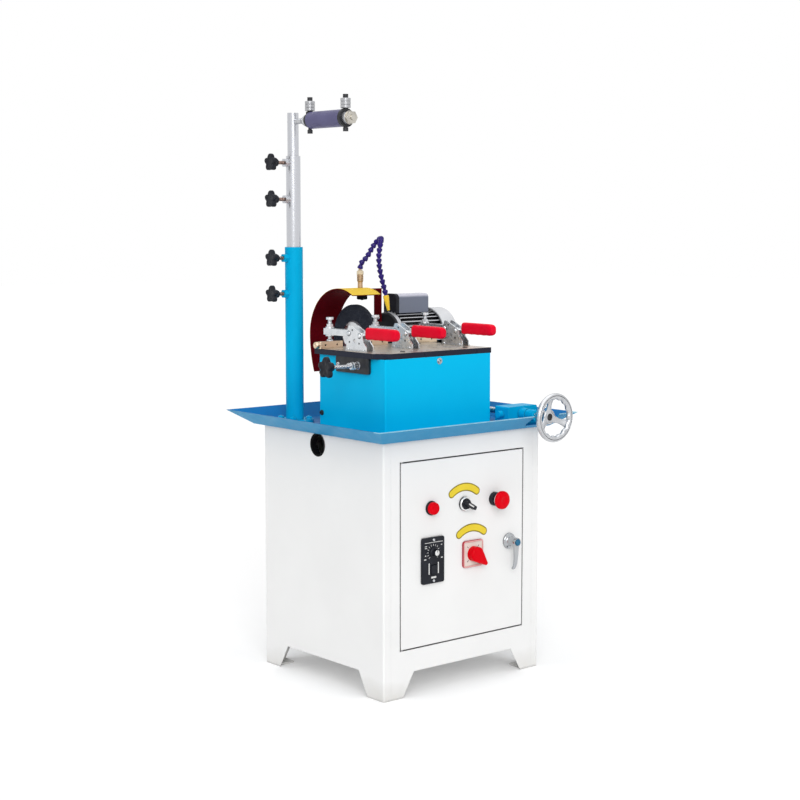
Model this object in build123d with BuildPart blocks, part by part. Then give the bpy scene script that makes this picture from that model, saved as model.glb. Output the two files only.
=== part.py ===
from build123d import *
import math
import os

# Band saw blade sharpener on a sheet-steel cabinet.
# Millimetres, +Z up, the operator stands on the -Y side, origin on the floor under the cabinet's middle.

# Fits and clearances
run_fit = 0.08          # radial clearance of a shaft or pin in its bore
slide_fit = 0.1         # radial clearance of a tube in the next tube
move_gap = 0.5          # air between a moving piece and what it passes
thread_gap = 0.3        # air between a screw and the piece it presses on

# Cabinet
cab_w = 450
cab_d = 421
cab_h = 548
sheet = 2
bend_r = 4
side_return = 20        # width of the side panels' folded front and back edges
arch_h = 53
arch_slope = 30         # run of the arch's slanted ends
front_arch_w = 344
side_arch_w = 314
shelf_z = 64
foot_pad = 44
foot_pad_t = 4
anchor_d = 11
anchor_inset = 26
cable_hole_d = 50
cable_hole_y = 12
cable_hole_below_top = 27
drain_d = 26
drain_x = 60
drain_from_back = 92.5
drain_bore = 20
drain_dip = 20

# Door
door_w = 352
door_h = 396
door_corner = 3
door_x = -2
door_rise = 28          # the door's middle above the cabinet's middle
door_gap = 3
door_depth = 16
door_sheet = 1.6
jamb_depth = 12
hinge_inset = 5
hinge_pin_d = 6
hinge_pin_len = 7

# Door controls, placed from the middle of the door's face
control_hole_d = 22.4
barrel_d = 22
barrel_len = 24
contact_w = 30
contact_len = 26
contact_corner = 3
lamp_dx = -93
lamp_dz = 96
lamp_bezel_d = 29.5
lamp_bezel_t = 5
lamp_lens_d = 26
lamp_lens_t = 9
lamp_lens_round = 4
selector_dx = 2
selector_dz = 95
selector_ring_d = 30
selector_ring_t = 6
selector_seat = 2
selector_knob_d = 22
selector_knob_t = 8
selector_lever_w = 9
selector_lever_t = 9
selector_lever_len = 31
selector_lever_shift = 6  # the lever reaches further to one side
selector_rest_deg = -30
estop_dx = 90
estop_dz = 96
estop_d = 40
estop_head_t = 17
estop_head_round = 7
estop_stem_d = 14
estop_stem_in = 16
estop_collar_d = 30
estop_collar_t = 10
estop_travel = 6
cam_plate = 58
cam_plate_t = 3
cam_corner = 6
cam_dx = 26
cam_dz = -17
cam_rim = 4
cam_rim_h = 1
cam_stem_d = 8
cam_stem_in = 12
cam_knob_d = 33
cam_knob_t = 14
cam_tip_d = 9
cam_tip_reach = 33      # from the knob's axis to the middle of its rounded tip
cam_base_t = 4
cam_rest_deg = -42
speed_w = 62
speed_h = 99
speed_corner = 4
speed_lap = 4           # the panel covers the edge of its cutout by this much
speed_dx = -90
speed_dz = -16
speed_t = 6
speed_body_depth = 48
speed_knob_d = 21
speed_knob_len = 12
speed_skirt_t = 4
speed_grip_d = 16
speed_top_d = 14
speed_stem_d = 6
speed_stem_in = 12
speed_knob_dx = -1
speed_knob_dz = 18
rocker_w = 15
rocker_h = 21
rocker_seat = 5
rocker_pin_d = 2.5
rocker_pin_in = 3
rocker_dz = -20
rocker_lean = 1         # the rocker's pressed faces stand back this far from its ends

# Door handle
handle_dx = 135
handle_dz = -3
rosette_d = 35
rosette_t = 6
rosette_edge = 2.4
handle_stem_d = 10
handle_neck_d = 20
handle_root_d = 23
handle_neck_len = 12
lever_len = 62
lever_w = 11
lever_t = 11
lock_button_d = 14
lock_travel = 2.5
lock_depth = 8
latch_len = 62
latch_w = 18
latch_t = 3

# Drip tray
tray_over = 16
tray_flare = 45
tray_rim_h = 31
tray_t = 2.5
tray_notch_w = 80
tray_notch_floor = 7

# Head box and work table
box_from_right = 88     # from the cabinet's right side
box_w = 303
box_setback = 64.5      # from the cabinet's front
box_d = 228
box_h = 160.5
box_wall = 4
box_corner = 3
table_t = 12
table_left_over = 10.5
table_right_over = 1
table_back_over = 3.5
table_corner = 27
wheel_slot_room = 8

# Toggle clamps
clamp_inset_1 = 15       # each clamp's middle from the box's left side
clamp_inset_2 = 144
clamp_inset_3 = 291
clamp_base_in = 70      # from the table's front edge to the clamps' bases
clamp_base_len = 68
clamp_foot_w = 26
clamp_plate_t = 2.5
clamp_inner_w = 16
clamp_top_h = 54
clamp_arm_h = 37
clamp_arm_t = 14
clamp_arm_reach = 93
clamp_arm_edge = 9      # from the arm's pivot to the base's back end
clamp_slot_w = 9
clamp_pin_d = 6
clamp_boss_r = 8
clamp_lever_y = 23      # from the base's front end to the lever's pivot
clamp_lever_h = 33
clamp_front_h = 22
clamp_hole_d = 8.4
clamp_grip_room = 1     # air between the side plates' front edge and the grip
spindle_d = 8
spindle_back = 13       # from the arm's tip to the spindle
spindle_top_h = 68
spindle_nut_w = 13
spindle_nut_t = 6
spindle_head_d = 16.5
spindle_head_t = 5
spindle_washer_d = 19
spindle_washer_t = 3
spindle_foot_d = 14
spindle_foot_h = 5
grip_len = 109
grip_h = 26
grip_w = 19
grip_corner = 5
grip_edge_r = 3.5
grip_h_above_table = 39
grip_from_base = 10     # the grip's near end lies this far behind the base's front end
grip_tang_h = 15
grip_tang_t = 6
grip_tang_len = 62
rest_len = 64
rest_w = 11
rest_h = 15.5
rest_hole_d = 4.5

# Side adjuster on the head box
adj_from_front = 85      # from the head box's front
adj_below_table = 29
adj_plate_len = 113
adj_plate_h = 34
adj_plate_t = 6
adj_plate_shift = 20
adj_corner = 4
adj_screw_d = 8
adj_nut_w = 14
adj_nut_t = 7
adj_nut_apart = 6
adj_reach = 96          # from the screw's tip to the knob's outer face
adj_knob_d = 48

# Grinding head
wheel_d = 150
wheel_t = 12
wheel_edge = 1
wheel_from_left = 166   # from the head box's left side
wheel_room = 1          # air left between the wheel and the head box at full infeed
wheel_above_table = 12
flange_d = 70
flange_t = 8
flange_face_d = 45
arbor_d = 20
arbor_in = 60
arbor_nut_w = 30
arbor_nut_t = 10
motor_from_wheel = 88   # from the wheel's middle to the motor's face
shield_d = 108
shield_t = 14
motor_d = 112
motor_core_d = 96
motor_len = 117
fin_count = 30
fin_t = 2.6
fin_root = 2
fan_d = 122
fan_len = 48
fan_slot_w = 5
fan_slots = 12
fan_slot_len = 27
fan_wall = 2
fan_spigot = 8          # the fan cover slips this far over the motor's rear shield
foot_span = 100
foot_w = 22
foot_t = 9
foot_inset = 8
foot_drop = 64
foot_root_out = 43      # where the feet's webs leave the core, from the motor's axis
foot_root_in = 24
foot_root_high = 14
foot_root_low = 38
cap_len = 98
cap_w = 44
cap_h = 40
cap_setback = 3
cap_corner = 10

# Wheel guard
guard_r = 108
guard_up = 5            # the guard's centre lies this far above the wheel's
guard_left = 50         # the guard reaches this far left of the wheel's middle
guard_w = 82
guard_t = 2.5
guard_front_deg = 29
guard_skirt_drop = 83   # from the wheel's centre down to the guard's lower edge
guard_skirt_in = 15     # the guard curves in by this much at its lower edge
bracket_w = 24
bracket_t = 4
bracket_lap = 12        # overlap of the bracket under the guard's right edge
bracket_setback = 12
bracket_low = 32        # the bracket's foot stays this far above the wheel's centre

# Coolant line
nipple_right = 14       # from the wheel's middle
nipple_d = 14
nipple_thread_d = 10
nipple_nut_w = 22
nipple_nut_t = 8
nipple_nut_drop = 1
nipple_len = 30
nipple_waist_d = 12
nipple_waist_len = 13
collar_d = 15
collar_len = 11
collar_taper = 3
hose_d = 13
hose_ball_r = 4.6
hose_bore_d = 5
hose_gap = 0.3
hose_neck_r = 3.4
hose_pitch = 12
hose_lip = 1.4
nozzle_len = 33
nozzle_tip_d = 6
nozzle_throat = 1

# Infeed slide and handwheel
screw_from_wheel = 192  # from the wheel's middle
screw_rise = 24.5       # above the tray's floor
screw_d = 14
screw_tail = 10         # the screw reaches this far past its nut at full retreat
screw_collar_d = 22
screw_collar_t = 10
infeed_forward = 4
infeed_back = 30
rail_from_wheel = 148   # from the wheel's middle
rail_w = 56
rail_h = 15
rail_undercut = 8
rail_back_gap = 4       # from the head box to the rail
rail_base_h = 20
carriage_len = 100
carriage_h = 30
carriage_side = 14
saddle_w = 130
saddle_len = 124
saddle_t = 10
saddle_shift = 12
web_w = 70
web_len = 80
nut_block_w = 30
nut_block_len = 40
beam_len = 88
beam_depth = 43
beam_setback = 20.5     # from the cabinet's front
beam_gap = 13           # from the head box to the beam
beam_h = 41.5
beam_corner = 4
boss_d = 27
boss_len = 19
tie_d = 16
handwheel_d = 108
handwheel_rim = 13
spoke_count = 3
spoke_rest_deg = 98
handwheel_out = 79.5    # in front of the cabinet
hub_d = 28
hub_len = 26
hub_recess = 14
spoke_w = 17
spoke_t = 9

# Guide post
post_from_left = 55     # from the cabinet's left side
post_from_back = 42.5   # from the cabinet's back
lower_d = 40
lower_len = 392.5
middle_d = 32
middle_out = 200        # how far the middle tube stands out of the lower one at rest
middle_in = 203
upper_d = 25
upper_out = 94          # how far the upper tube stands out of the middle one at rest
upper_in = 133
upper_wall = 2.5
post_flange_d = 84
post_flange_t = 8
weld_nut_d = 17
weld_nut_len = 10
knob_d = 39
knob_t = 11
knob_hub_d = 17
knob_hub_len = 11
knob_lobes = 5
knob_lobe_share = 0.16  # a lobe's radius as a share of the knob's diameter
knob_reach = 66
knob_screw_d = 8
middle_knob_drops = (15, 95)    # below the middle tube's top
lower_knob_drops = (24, 103)    # below the lower tube's top

# Guide roller
roller_drop = 19        # the axle's centre below the post's top
axle_d = 12
axle_tail = 1           # the axle stands out of the post's back by this much
axle_tip = 3
roller_d = 37
roller_len = 116
roller_edge = 1.5
roller_gap = 0.5
roller_from_post = 67
cone_len = 25
cone_d = 26
ring_d = 39.5
ring_rear_d = 31
ring_t = 8
ring_flat_h = 18.8      # from the axle's centre to the flat that the bearings stand on
ring_bolt_d = 8
ring_bolt_head_d = 11.5
ring_bolt_root = 2      # the lower bolt starts this far below the axle
ring_bolt_socket_w = 6
bearing_d = 22
bearing_t = 7
bearing_groove = 0.8
bearing_washer_t = 1.5
bearing_washer_d = 12
bearing_count = 3
sleeve_d = 29
sleeve_len = 11
end_nut_w = 24
end_nut_t = 9

# Coolant tank and pump inside the cabinet
tank_w = 260
tank_d = 170
tank_h = 150
tank_y = 60
tank_corner = 12
tank_wall = 3
pump_d = 90
pump_x = -70
pump_plate_w = 100
pump_tube_d = 45
pump_h = 110
pump_crown_h = 22
pump_crown_d = 72
pump_lift = 12          # air under the pump's tube

# Places worked out from the dimensions above
front_y = -cab_d / 2
drain_y = cab_d / 2 - drain_from_back
tray_top = cab_h + tray_t
box_top = tray_top + box_h
table_top = box_top + table_t
box_x1 = cab_w / 2 - box_from_right
box_y0 = front_y + box_setback
box_x0 = box_x1 - box_w
box_y1 = box_y0 + box_d
table_x0 = box_x0 - table_left_over
table_x1 = box_x1 + table_right_over
table_y1 = box_y1 + table_back_over
axis_y = box_y1 + wheel_d / 2 + infeed_forward + wheel_room
axis_z = table_top + wheel_above_table
screw_end_y = axis_y + nut_block_len / 2 + infeed_back + screw_tail
clamp_xs = [box_x0 + inset for inset in (clamp_inset_1, clamp_inset_2, clamp_inset_3)]
clamp_base_y0 = box_y0 + clamp_base_in
spindle_y = clamp_base_y0 + clamp_base_len - clamp_arm_edge + clamp_arm_reach - spindle_back
wheel_x = box_x0 + wheel_from_left
motor_x0 = wheel_x + motor_from_wheel
motor_x1 = motor_x0 + shield_t + motor_len
guard_x0 = wheel_x - guard_left
guard_skirt_z = axis_z - guard_skirt_drop
nipple_x = wheel_x + nipple_right
rail_x = wheel_x + rail_from_wheel
screw_x = wheel_x + screw_from_wheel
screw_z = tray_top + screw_rise
beam_x0 = box_x1 + beam_gap
beam_front_y = front_y + beam_setback
handwheel_y = front_y - handwheel_out
door_x0 = door_x - door_w / 2
door_z = cab_h / 2 + door_rise
door_z0 = door_z - door_h / 2
door_z1 = door_z + door_h / 2
lamp_x = door_x + lamp_dx
lamp_z = door_z + lamp_dz
selector_x = door_x + selector_dx
selector_z = door_z + selector_dz
estop_x = door_x + estop_dx
estop_z = door_z + estop_dz
cam_x = door_x + cam_dx
cam_z = door_z + cam_dz
speed_x = door_x + speed_dx
speed_z = door_z + speed_dz
handle_x = door_x + handle_dx
handle_z = door_z + handle_dz
hinge_x = door_x0 + hinge_inset
hinge_y = front_y + hinge_inset
inner_face_y = front_y + door_depth
post_x = post_from_left - cab_w / 2
post_y = cab_d / 2 - post_from_back
lower_top = tray_top + lower_len
middle_top = lower_top + middle_out
middle_bottom = lower_top - middle_in
upper_top = middle_top + upper_out
upper_bottom = middle_top - upper_in
lower_bore_d = middle_d + 2 * slide_fit
middle_bore_d = upper_d + 2 * slide_fit
axle_z = upper_top - roller_drop
roller_y1 = post_y - roller_from_post
roller_y0 = roller_y1 - roller_len

# The hose's path from its first ball to the nozzle, chosen by eye
hose_steps = ((6, -11, 20), (17, -27, 50), (22, -46, 67), (10, -63, 61), (-3, -72, 34), (-6, -78, 1),
              (-2, -84, -32), (3, -89, -62))

os.makedirs("parts", exist_ok=True)


def save(piece, name):
    piece.label = name
    export_step(piece, f"parts/{name}.step")


def facing(side, x, y, z):
    # a drawing plane at a point, seen from one side of the machine, with up as its Y
    across, normal = {
        "front": ((1, 0, 0), (0, -1, 0)),
        "back": ((-1, 0, 0), (0, 1, 0)),
        "left": ((0, -1, 0), (-1, 0, 0)),
        "right": ((0, 1, 0), (1, 0, 0)),
        "up": ((1, 0, 0), (0, 0, 1)),
        "down": ((1, 0, 0), (0, 0, -1)),
    }[side]
    return Plane(origin=(x, y, z), x_dir=across, z_dir=normal)


def disc(plane, diameter, length, mode=Mode.ADD):
    with BuildSketch(plane) as face:
        Circle(diameter / 2)
    extrude(face.sketch, amount=length, mode=mode)


def hexagon(plane, across_flats, length, mode=Mode.ADD):
    with BuildSketch(plane) as face:
        RegularPolygon(across_flats / 2, 6, major_radius=False)
    extrude(face.sketch, amount=length, mode=mode)


def plate(plane, width, height, thickness, corner=0, mode=Mode.ADD):
    with BuildSketch(plane) as face:
        if corner:
            RectangleRounded(width, height, corner)
        else:
            Rectangle(width, height)
    extrude(face.sketch, amount=thickness, mode=mode)


def profile_plane(origin, along):
    # a plane whose Y runs along a turned piece's axis and whose X is its radius
    axis = Vector(along).normalized()
    start = Vector(0, 0, 1) if abs(axis.Z) < 0.7 else Vector(1, 0, 0)
    across = (start - axis * start.dot(axis)).normalized()
    return Plane(origin=origin, x_dir=across, z_dir=across.cross(axis))


def turned(origin, along, *points, mode=Mode.ADD):
    # a turned piece from points of (radius, distance along its axis)
    with BuildSketch(profile_plane(origin, along)) as face:
        with BuildLine():
            Polyline(*points, close=True)
        make_face()
    revolve(face.sketch, axis=Axis(origin, along), mode=mode)


def arch_cut(plane, width, depth):
    half = width / 2
    with BuildSketch(plane) as face:
        Polygon((-half, 0), (half, 0), (half - arch_slope, arch_h), (arch_slope - half, arch_h), align=None)
    extrude(face.sketch, amount=depth, both=True, mode=Mode.SUBTRACT)


frame_w = cab_w - 2 * side_return
inner_w = cab_w - 2 * sheet
inner_d = cab_d - 2 * sheet


# Cabinet side panels, folded at front and back, with welded foot pads
def side_panel(side):
    with BuildPart() as panel:
        with BuildSketch():
            RectangleRounded(cab_w, cab_d, bend_r)
            RectangleRounded(cab_w - 2 * sheet, cab_d - 2 * sheet, bend_r - sheet, mode=Mode.SUBTRACT)
            with Locations((side * (cab_w - side_return) / 2, 0)):
                Rectangle(side_return, cab_d, mode=Mode.INTERSECT)
        extrude(amount=cab_h)
        arch_cut(Plane.YZ.offset(side * (cab_w - sheet) / 2), side_arch_w, sheet)
        with BuildSketch():
            with Locations((side * (inner_w - foot_pad) / 2, 0)):
                with GridLocations(0, inner_d - foot_pad, 1, 2):
                    RectangleRounded(foot_pad, foot_pad, bend_r)
            with Locations((side * (cab_w / 2 - anchor_inset), 0)):
                with GridLocations(0, cab_d - 2 * anchor_inset, 1, 2):
                    Circle(anchor_d / 2, mode=Mode.SUBTRACT)
        extrude(amount=foot_pad_t)
        if side < 0:
            hole_z = cab_h - cable_hole_below_top
            disc(facing("left", 2 * sheet - cab_w / 2, cable_hole_y, hole_z), cable_hole_d,
                 3 * sheet, Mode.SUBTRACT)
    return panel.part


save(side_panel(-1), "cabinet_left_panel")
save(side_panel(1), "cabinet_right_panel")

with BuildPart() as cabinet_back_panel:
    with BuildSketch(facing("back", 0, cab_d / 2 - sheet, cab_h / 2)):
        Rectangle(frame_w, cab_h)
    extrude(amount=sheet)
    arch_cut(Plane.XZ.offset(sheet / 2 - cab_d / 2), front_arch_w, sheet)
save(cabinet_back_panel.part, "cabinet_back_panel")

# Front frame round the door; its folded jambs carry the hinge pins and catch the latch
opening_w = door_w + 2 * door_gap
opening_h = door_h + 2 * door_gap
with BuildPart() as cabinet_front_frame:
    with BuildSketch(facing("front", 0, front_y + sheet, 0)):
        with Locations((0, cab_h / 2)):
            Rectangle(frame_w, cab_h)
        with Locations((door_x, door_z)):
            Rectangle(opening_w, opening_h, mode=Mode.SUBTRACT)
    extrude(amount=sheet)
    with BuildSketch(facing("front", door_x, front_y + sheet + jamb_depth, door_z)):
        Rectangle(opening_w + 2 * sheet, opening_h + 2 * sheet)
        Rectangle(opening_w, opening_h, mode=Mode.SUBTRACT)
    extrude(amount=jamb_depth)
    arch_cut(Plane.XZ.offset(cab_d / 2 - sheet / 2), front_arch_w, sheet)
    disc(facing("up", hinge_x, hinge_y, door_z0 - door_gap), hinge_pin_d, hinge_pin_len)
    disc(facing("down", hinge_x, hinge_y, door_z1 + door_gap), hinge_pin_d, hinge_pin_len)
save(cabinet_front_frame.part, "cabinet_front_frame")

with BuildPart() as cabinet_shelf:
    with BuildSketch(Plane.XY.offset(shelf_z - sheet)):
        RectangleRounded(inner_w, inner_d, bend_r)
    extrude(amount=sheet)
save(cabinet_shelf.part, "cabinet_shelf")

with BuildPart() as cabinet_top:
    with BuildSketch(Plane.XY.offset(cab_h - sheet)):
        RectangleRounded(inner_w, inner_d, bend_r)
        with Locations((drain_x, drain_y)):
            Circle(drain_d / 2 + move_gap, mode=Mode.SUBTRACT)
    extrude(amount=sheet)
save(cabinet_top.part, "cabinet_top")

# Door, a shallow pan with holes for its controls
with BuildPart() as door_panel:
    with BuildSketch(facing("front", door_x, inner_face_y, door_z)):
        RectangleRounded(door_w, door_h, door_corner)
    extrude(amount=door_depth)
    offset(amount=-door_sheet, openings=door_panel.faces().sort_by(Axis.Y)[-1])
    with BuildSketch(facing("front", 0, front_y + 2 * door_sheet, 0)):
        with Locations((lamp_x, lamp_z), (selector_x, selector_z), (estop_x, estop_z), (cam_x, cam_z)):
            Circle(control_hole_d / 2)
        with Locations((handle_x, handle_z)):
            Circle(handle_stem_d / 2 + run_fit)
        with Locations((speed_x, speed_z)):
            Rectangle(speed_w - 2 * speed_lap, speed_h - 2 * speed_lap)
    extrude(amount=4 * door_sheet, mode=Mode.SUBTRACT)
    disc(facing("up", hinge_x, hinge_y, door_z0 - door_gap), hinge_pin_d + 2 * run_fit, opening_h,
         Mode.SUBTRACT)
save(door_panel.part, "door_panel")


# Door controls: each has a barrel through the door and a contact block behind it
def barrel(x, z):
    disc(facing("back", x, front_y, z), barrel_d, barrel_len)
    plate(facing("back", x, front_y + barrel_len, z), contact_w, contact_w, contact_len, contact_corner)


def front_edges(piece):
    return piece.faces().sort_by(Axis.Y)[0].edges()


with BuildPart() as pilot_lamp:
    barrel(lamp_x, lamp_z)
    disc(facing("front", lamp_x, front_y, lamp_z), lamp_bezel_d, lamp_bezel_t)
    chamfer(front_edges(pilot_lamp), lamp_bezel_t / 4)
    disc(facing("front", lamp_x, front_y - lamp_bezel_t, lamp_z), lamp_lens_d, lamp_lens_t)
    fillet(front_edges(pilot_lamp), lamp_lens_round)
save(pilot_lamp.part, "pilot_lamp")

with BuildPart() as selector_ring:
    barrel(selector_x, selector_z)
    disc(facing("front", selector_x, front_y, selector_z), selector_ring_d, selector_ring_t)
    fillet(front_edges(selector_ring), selector_ring_t / 3)
    disc(facing("front", selector_x, front_y - selector_seat, selector_z), selector_knob_d + 2 * run_fit,
         selector_ring_t, Mode.SUBTRACT)
save(selector_ring.part, "selector_ring")

with BuildPart() as selector_knob:
    seat_y = front_y - selector_seat - thread_gap
    disc(facing("front", selector_x, seat_y, selector_z), selector_knob_d, selector_knob_t)
    with BuildSketch(facing("front", selector_x, seat_y - selector_knob_t, selector_z)):
        with PolarLocations(selector_lever_shift, 1, selector_rest_deg):
            RectangleRounded(selector_lever_len, selector_lever_w, selector_lever_w / 3)
    extrude(amount=selector_lever_t)
save(selector_knob.part, "selector_knob")

with BuildPart() as estop_collar:
    barrel(estop_x, estop_z)
    disc(facing("front", estop_x, front_y, estop_z), estop_collar_d, estop_collar_t)
    fillet(front_edges(estop_collar), estop_collar_t / 5)
    disc(facing("front", estop_x, front_y + estop_stem_in, estop_z), estop_stem_d + 2 * run_fit,
         estop_stem_in + estop_collar_t, Mode.SUBTRACT)
save(estop_collar.part, "estop_collar")

with BuildPart() as estop_button:
    travel = estop_travel + thread_gap
    disc(facing("front", estop_x, front_y + estop_stem_in - travel, estop_z), estop_stem_d,
         estop_stem_in + estop_collar_t)
    disc(facing("front", estop_x, front_y - estop_collar_t - travel, estop_z), estop_d, estop_head_t)
    fillet(front_edges(estop_button), estop_head_round)
save(estop_button.part, "estop_button")

with BuildPart() as cam_switch_plate:
    barrel(cam_x, cam_z)
    plate(facing("front", cam_x, front_y, cam_z), cam_plate, cam_plate, cam_plate_t + cam_rim_h, cam_corner)
    field = cam_plate - 2 * cam_rim
    plate(facing("front", cam_x, front_y - cam_plate_t, cam_z), field, field, cam_rim_h, cam_rim_h,
          Mode.SUBTRACT)
    disc(facing("front", cam_x, front_y + cam_stem_in, cam_z), cam_stem_d + 2 * run_fit,
         cam_stem_in + cam_plate_t, Mode.SUBTRACT)
save(cam_switch_plate.part, "cam_switch_plate")

with BuildPart() as cam_switch_knob:
    seat_y = front_y - cam_plate_t - thread_gap
    disc(facing("front", cam_x, seat_y + cam_stem_in - 2 * thread_gap, cam_z), cam_stem_d, cam_stem_in)
    disc(facing("front", cam_x, seat_y, cam_z), cam_knob_d, cam_base_t)
    cam_turn = math.radians(cam_rest_deg)
    with BuildSketch(facing("front", cam_x, seat_y - cam_base_t, cam_z)):
        with BuildLine():
            CenterArc((0, 0), cam_knob_d / 2, 0, 360)
            tip = (cam_tip_reach * math.cos(cam_turn), cam_tip_reach * math.sin(cam_turn))
            CenterArc(tip, cam_tip_d / 2, 0, 360)
        make_hull()
    extrude(amount=cam_knob_t)
    chamfer(front_edges(cam_switch_knob), cam_knob_t / 6)
save(cam_switch_knob.part, "cam_switch_knob")

speed_knob_x = speed_x + speed_knob_dx
speed_knob_z = speed_z + speed_knob_dz
rocker_z = speed_z + rocker_dz
rocker_pivot_y = front_y - speed_t + rocker_seat / 2
with BuildPart() as speed_panel:
    plate(facing("front", speed_x, front_y, speed_z), speed_w, speed_h, speed_t, speed_corner)
    chamfer(front_edges(speed_panel), speed_t / 5)
    plate(facing("back", speed_x, front_y, speed_z), speed_w - 2 * speed_lap - 2 * slide_fit,
          speed_h - 2 * speed_lap - 2 * slide_fit, speed_body_depth)
    disc(facing("front", speed_knob_x, front_y + speed_stem_in, speed_knob_z), speed_stem_d + 2 * run_fit,
         speed_stem_in + speed_t, Mode.SUBTRACT)
    plate(facing("front", speed_x, front_y - speed_t + rocker_seat, rocker_z), rocker_w + 2 * move_gap,
          rocker_h + 2 * move_gap, rocker_seat, 0, Mode.SUBTRACT)
    disc(facing("right", speed_x - rocker_w / 2 - rocker_pin_in - thread_gap, rocker_pivot_y, rocker_z),
         rocker_pin_d + 2 * run_fit, rocker_w + 2 * rocker_pin_in + 2 * thread_gap, Mode.SUBTRACT)
save(speed_panel.part, "speed_panel")

with BuildPart() as speed_knob:
    seat_y = front_y - speed_t - thread_gap
    disc(facing("front", speed_knob_x, seat_y + speed_stem_in, speed_knob_z), speed_stem_d, speed_stem_in)
    turned((speed_knob_x, seat_y, speed_knob_z), (0, -1, 0), (0, 0), (speed_knob_d / 2, 0),
           (speed_knob_d / 2, speed_skirt_t / 2), (speed_grip_d / 2, speed_skirt_t),
           (speed_top_d / 2, speed_knob_len), (0, speed_knob_len))
save(speed_knob.part, "speed_knob")

# Rocker, tipping on a pin through its middle
with BuildPart() as rocker_switch:
    half = rocker_h / 2
    out_y = rocker_pivot_y - rocker_seat
    with BuildSketch(Plane.YZ.offset(speed_x - rocker_w / 2)):
        Polygon((rocker_pivot_y, rocker_z + half), (out_y, rocker_z + half - rocker_lean),
                (out_y + rocker_seat / 3, rocker_z), (out_y, rocker_z - half + rocker_lean),
                (rocker_pivot_y, rocker_z - half), (rocker_pivot_y + rocker_pin_d / 2, rocker_z), align=None)
    extrude(amount=rocker_w)
    disc(facing("right", speed_x - rocker_w / 2 - rocker_pin_in, rocker_pivot_y, rocker_z), rocker_pin_d,
         rocker_w + 2 * rocker_pin_in)
save(rocker_switch.part, "rocker_switch")

# Door handle: base, neck and lever outside, stem through the door, latch behind the jamb's edge inside
base_y = front_y - thread_gap
head_y = base_y - rosette_t - handle_neck_len
latch_y = inner_face_y + move_gap
with BuildPart() as door_handle:
    tip_z = lever_w / 2 - lever_len
    with BuildSketch(facing("front", handle_x, head_y, handle_z)):
        with BuildLine():
            Polyline((-lever_w / 2, tip_z), (-handle_neck_d / 2, 0), (handle_neck_d / 2, 0),
                     (lever_w / 2, tip_z))
            ThreePointArc((lever_w / 2, tip_z), (0, -lever_len), (-lever_w / 2, tip_z))
        make_face()
    extrude(amount=lever_t)
    fillet(front_edges(door_handle), lever_t / 6)
    neck_top = rosette_t + handle_neck_len + lever_t
    turned((handle_x, base_y, handle_z), (0, -1, 0), (0, 0), (rosette_d / 2, 0),
           (rosette_d / 2, rosette_t - rosette_edge), (handle_root_d / 2, rosette_t),
           (handle_neck_d / 2, rosette_t + handle_neck_len / 2), (handle_neck_d / 2, neck_top), (0, neck_top))
    disc(facing("front", handle_x, latch_y, handle_z), handle_stem_d, latch_y - base_y)
    with BuildSketch(facing("back", handle_x, latch_y, handle_z)):
        with Locations((0, (latch_len - latch_w) / 2)):
            SlotOverall(latch_len, latch_w, rotation=90)
    extrude(amount=latch_t)
    disc(facing("front", handle_x, head_y - lever_t + lock_depth, handle_z), lock_button_d + 2 * run_fit,
         lock_depth, Mode.SUBTRACT)
save(door_handle.part, "door_handle")

with BuildPart() as lock_button:
    button_y = head_y - lever_t + lock_depth - lock_travel - thread_gap
    disc(facing("front", handle_x, button_y, handle_z), lock_button_d, lock_depth)
    chamfer(front_edges(lock_button), lock_button_d / 12)
save(lock_button.part, "lock_button")

# Drip tray with a flared rim, notched for the handwheel's shaft, and its drain pipe
tray_w = cab_w + 2 * tray_over
tray_d = cab_d + 2 * tray_over
tank_rim_z = shelf_z + tank_h
with BuildPart() as drip_tray:
    with BuildSketch(Plane.XY.offset(cab_h)):
        Rectangle(tray_w, tray_d)
    with BuildSketch(Plane.XY.offset(cab_h + tray_rim_h)):
        Rectangle(tray_w + 2 * tray_flare, tray_d + 2 * tray_flare)
    loft()
    offset(amount=-tray_t, openings=drip_tray.faces().sort_by(Axis.Z)[-1])
    plate(facing("front", screw_x, front_y - tray_over, cab_h + tray_notch_floor + tray_rim_h), tray_notch_w,
          2 * tray_rim_h, 2 * tray_flare, tray_notch_floor, Mode.SUBTRACT)
    drain_end = facing("up", drain_x, drain_y, tank_rim_z - drain_dip)
    disc(drain_end, drain_d, cab_h + tray_t - tank_rim_z + drain_dip)
    disc(drain_end, drain_bore, cab_h, Mode.SUBTRACT)
save(drip_tray.part, "drip_tray")

# Coolant tank on the cabinet's shelf, with an immersion pump hung from its rim
with BuildPart() as coolant_tank:
    with BuildSketch(Plane.XY.offset(shelf_z)):
        with Locations((0, tank_y)):
            RectangleRounded(tank_w, tank_d, tank_corner)
    extrude(amount=tank_h)
    offset(amount=-tank_wall, openings=coolant_tank.faces().sort_by(Axis.Z)[-1])
save(coolant_tank.part, "coolant_tank")

with BuildPart() as coolant_pump:
    plate(facing("up", pump_x, tank_y, tank_rim_z), pump_plate_w, tank_d, tank_wall)
    turned((pump_x, tank_y, tank_rim_z + tank_wall), (0, 0, 1), (0, 0), (pump_d / 2, 0),
           (pump_d / 2, pump_h - pump_crown_h), (pump_crown_d / 2, pump_h), (0, pump_h))
    disc(facing("down", pump_x, tank_y, tank_rim_z), pump_tube_d, tank_h - pump_lift)
save(coolant_pump.part, "coolant_pump")

# Head box and the work table on top of it, slotted for the grinding wheel
with BuildPart() as head_box:
    with BuildSketch(Plane.XY.offset(tray_top)):
        with Locations(((box_x0 + box_x1) / 2, (box_y0 + box_y1) / 2)):
            RectangleRounded(box_w, box_d, box_corner)
            Rectangle(box_w - 2 * box_wall, box_d - 2 * box_wall, mode=Mode.SUBTRACT)
    extrude(amount=box_h)
save(head_box.part, "head_box")

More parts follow.
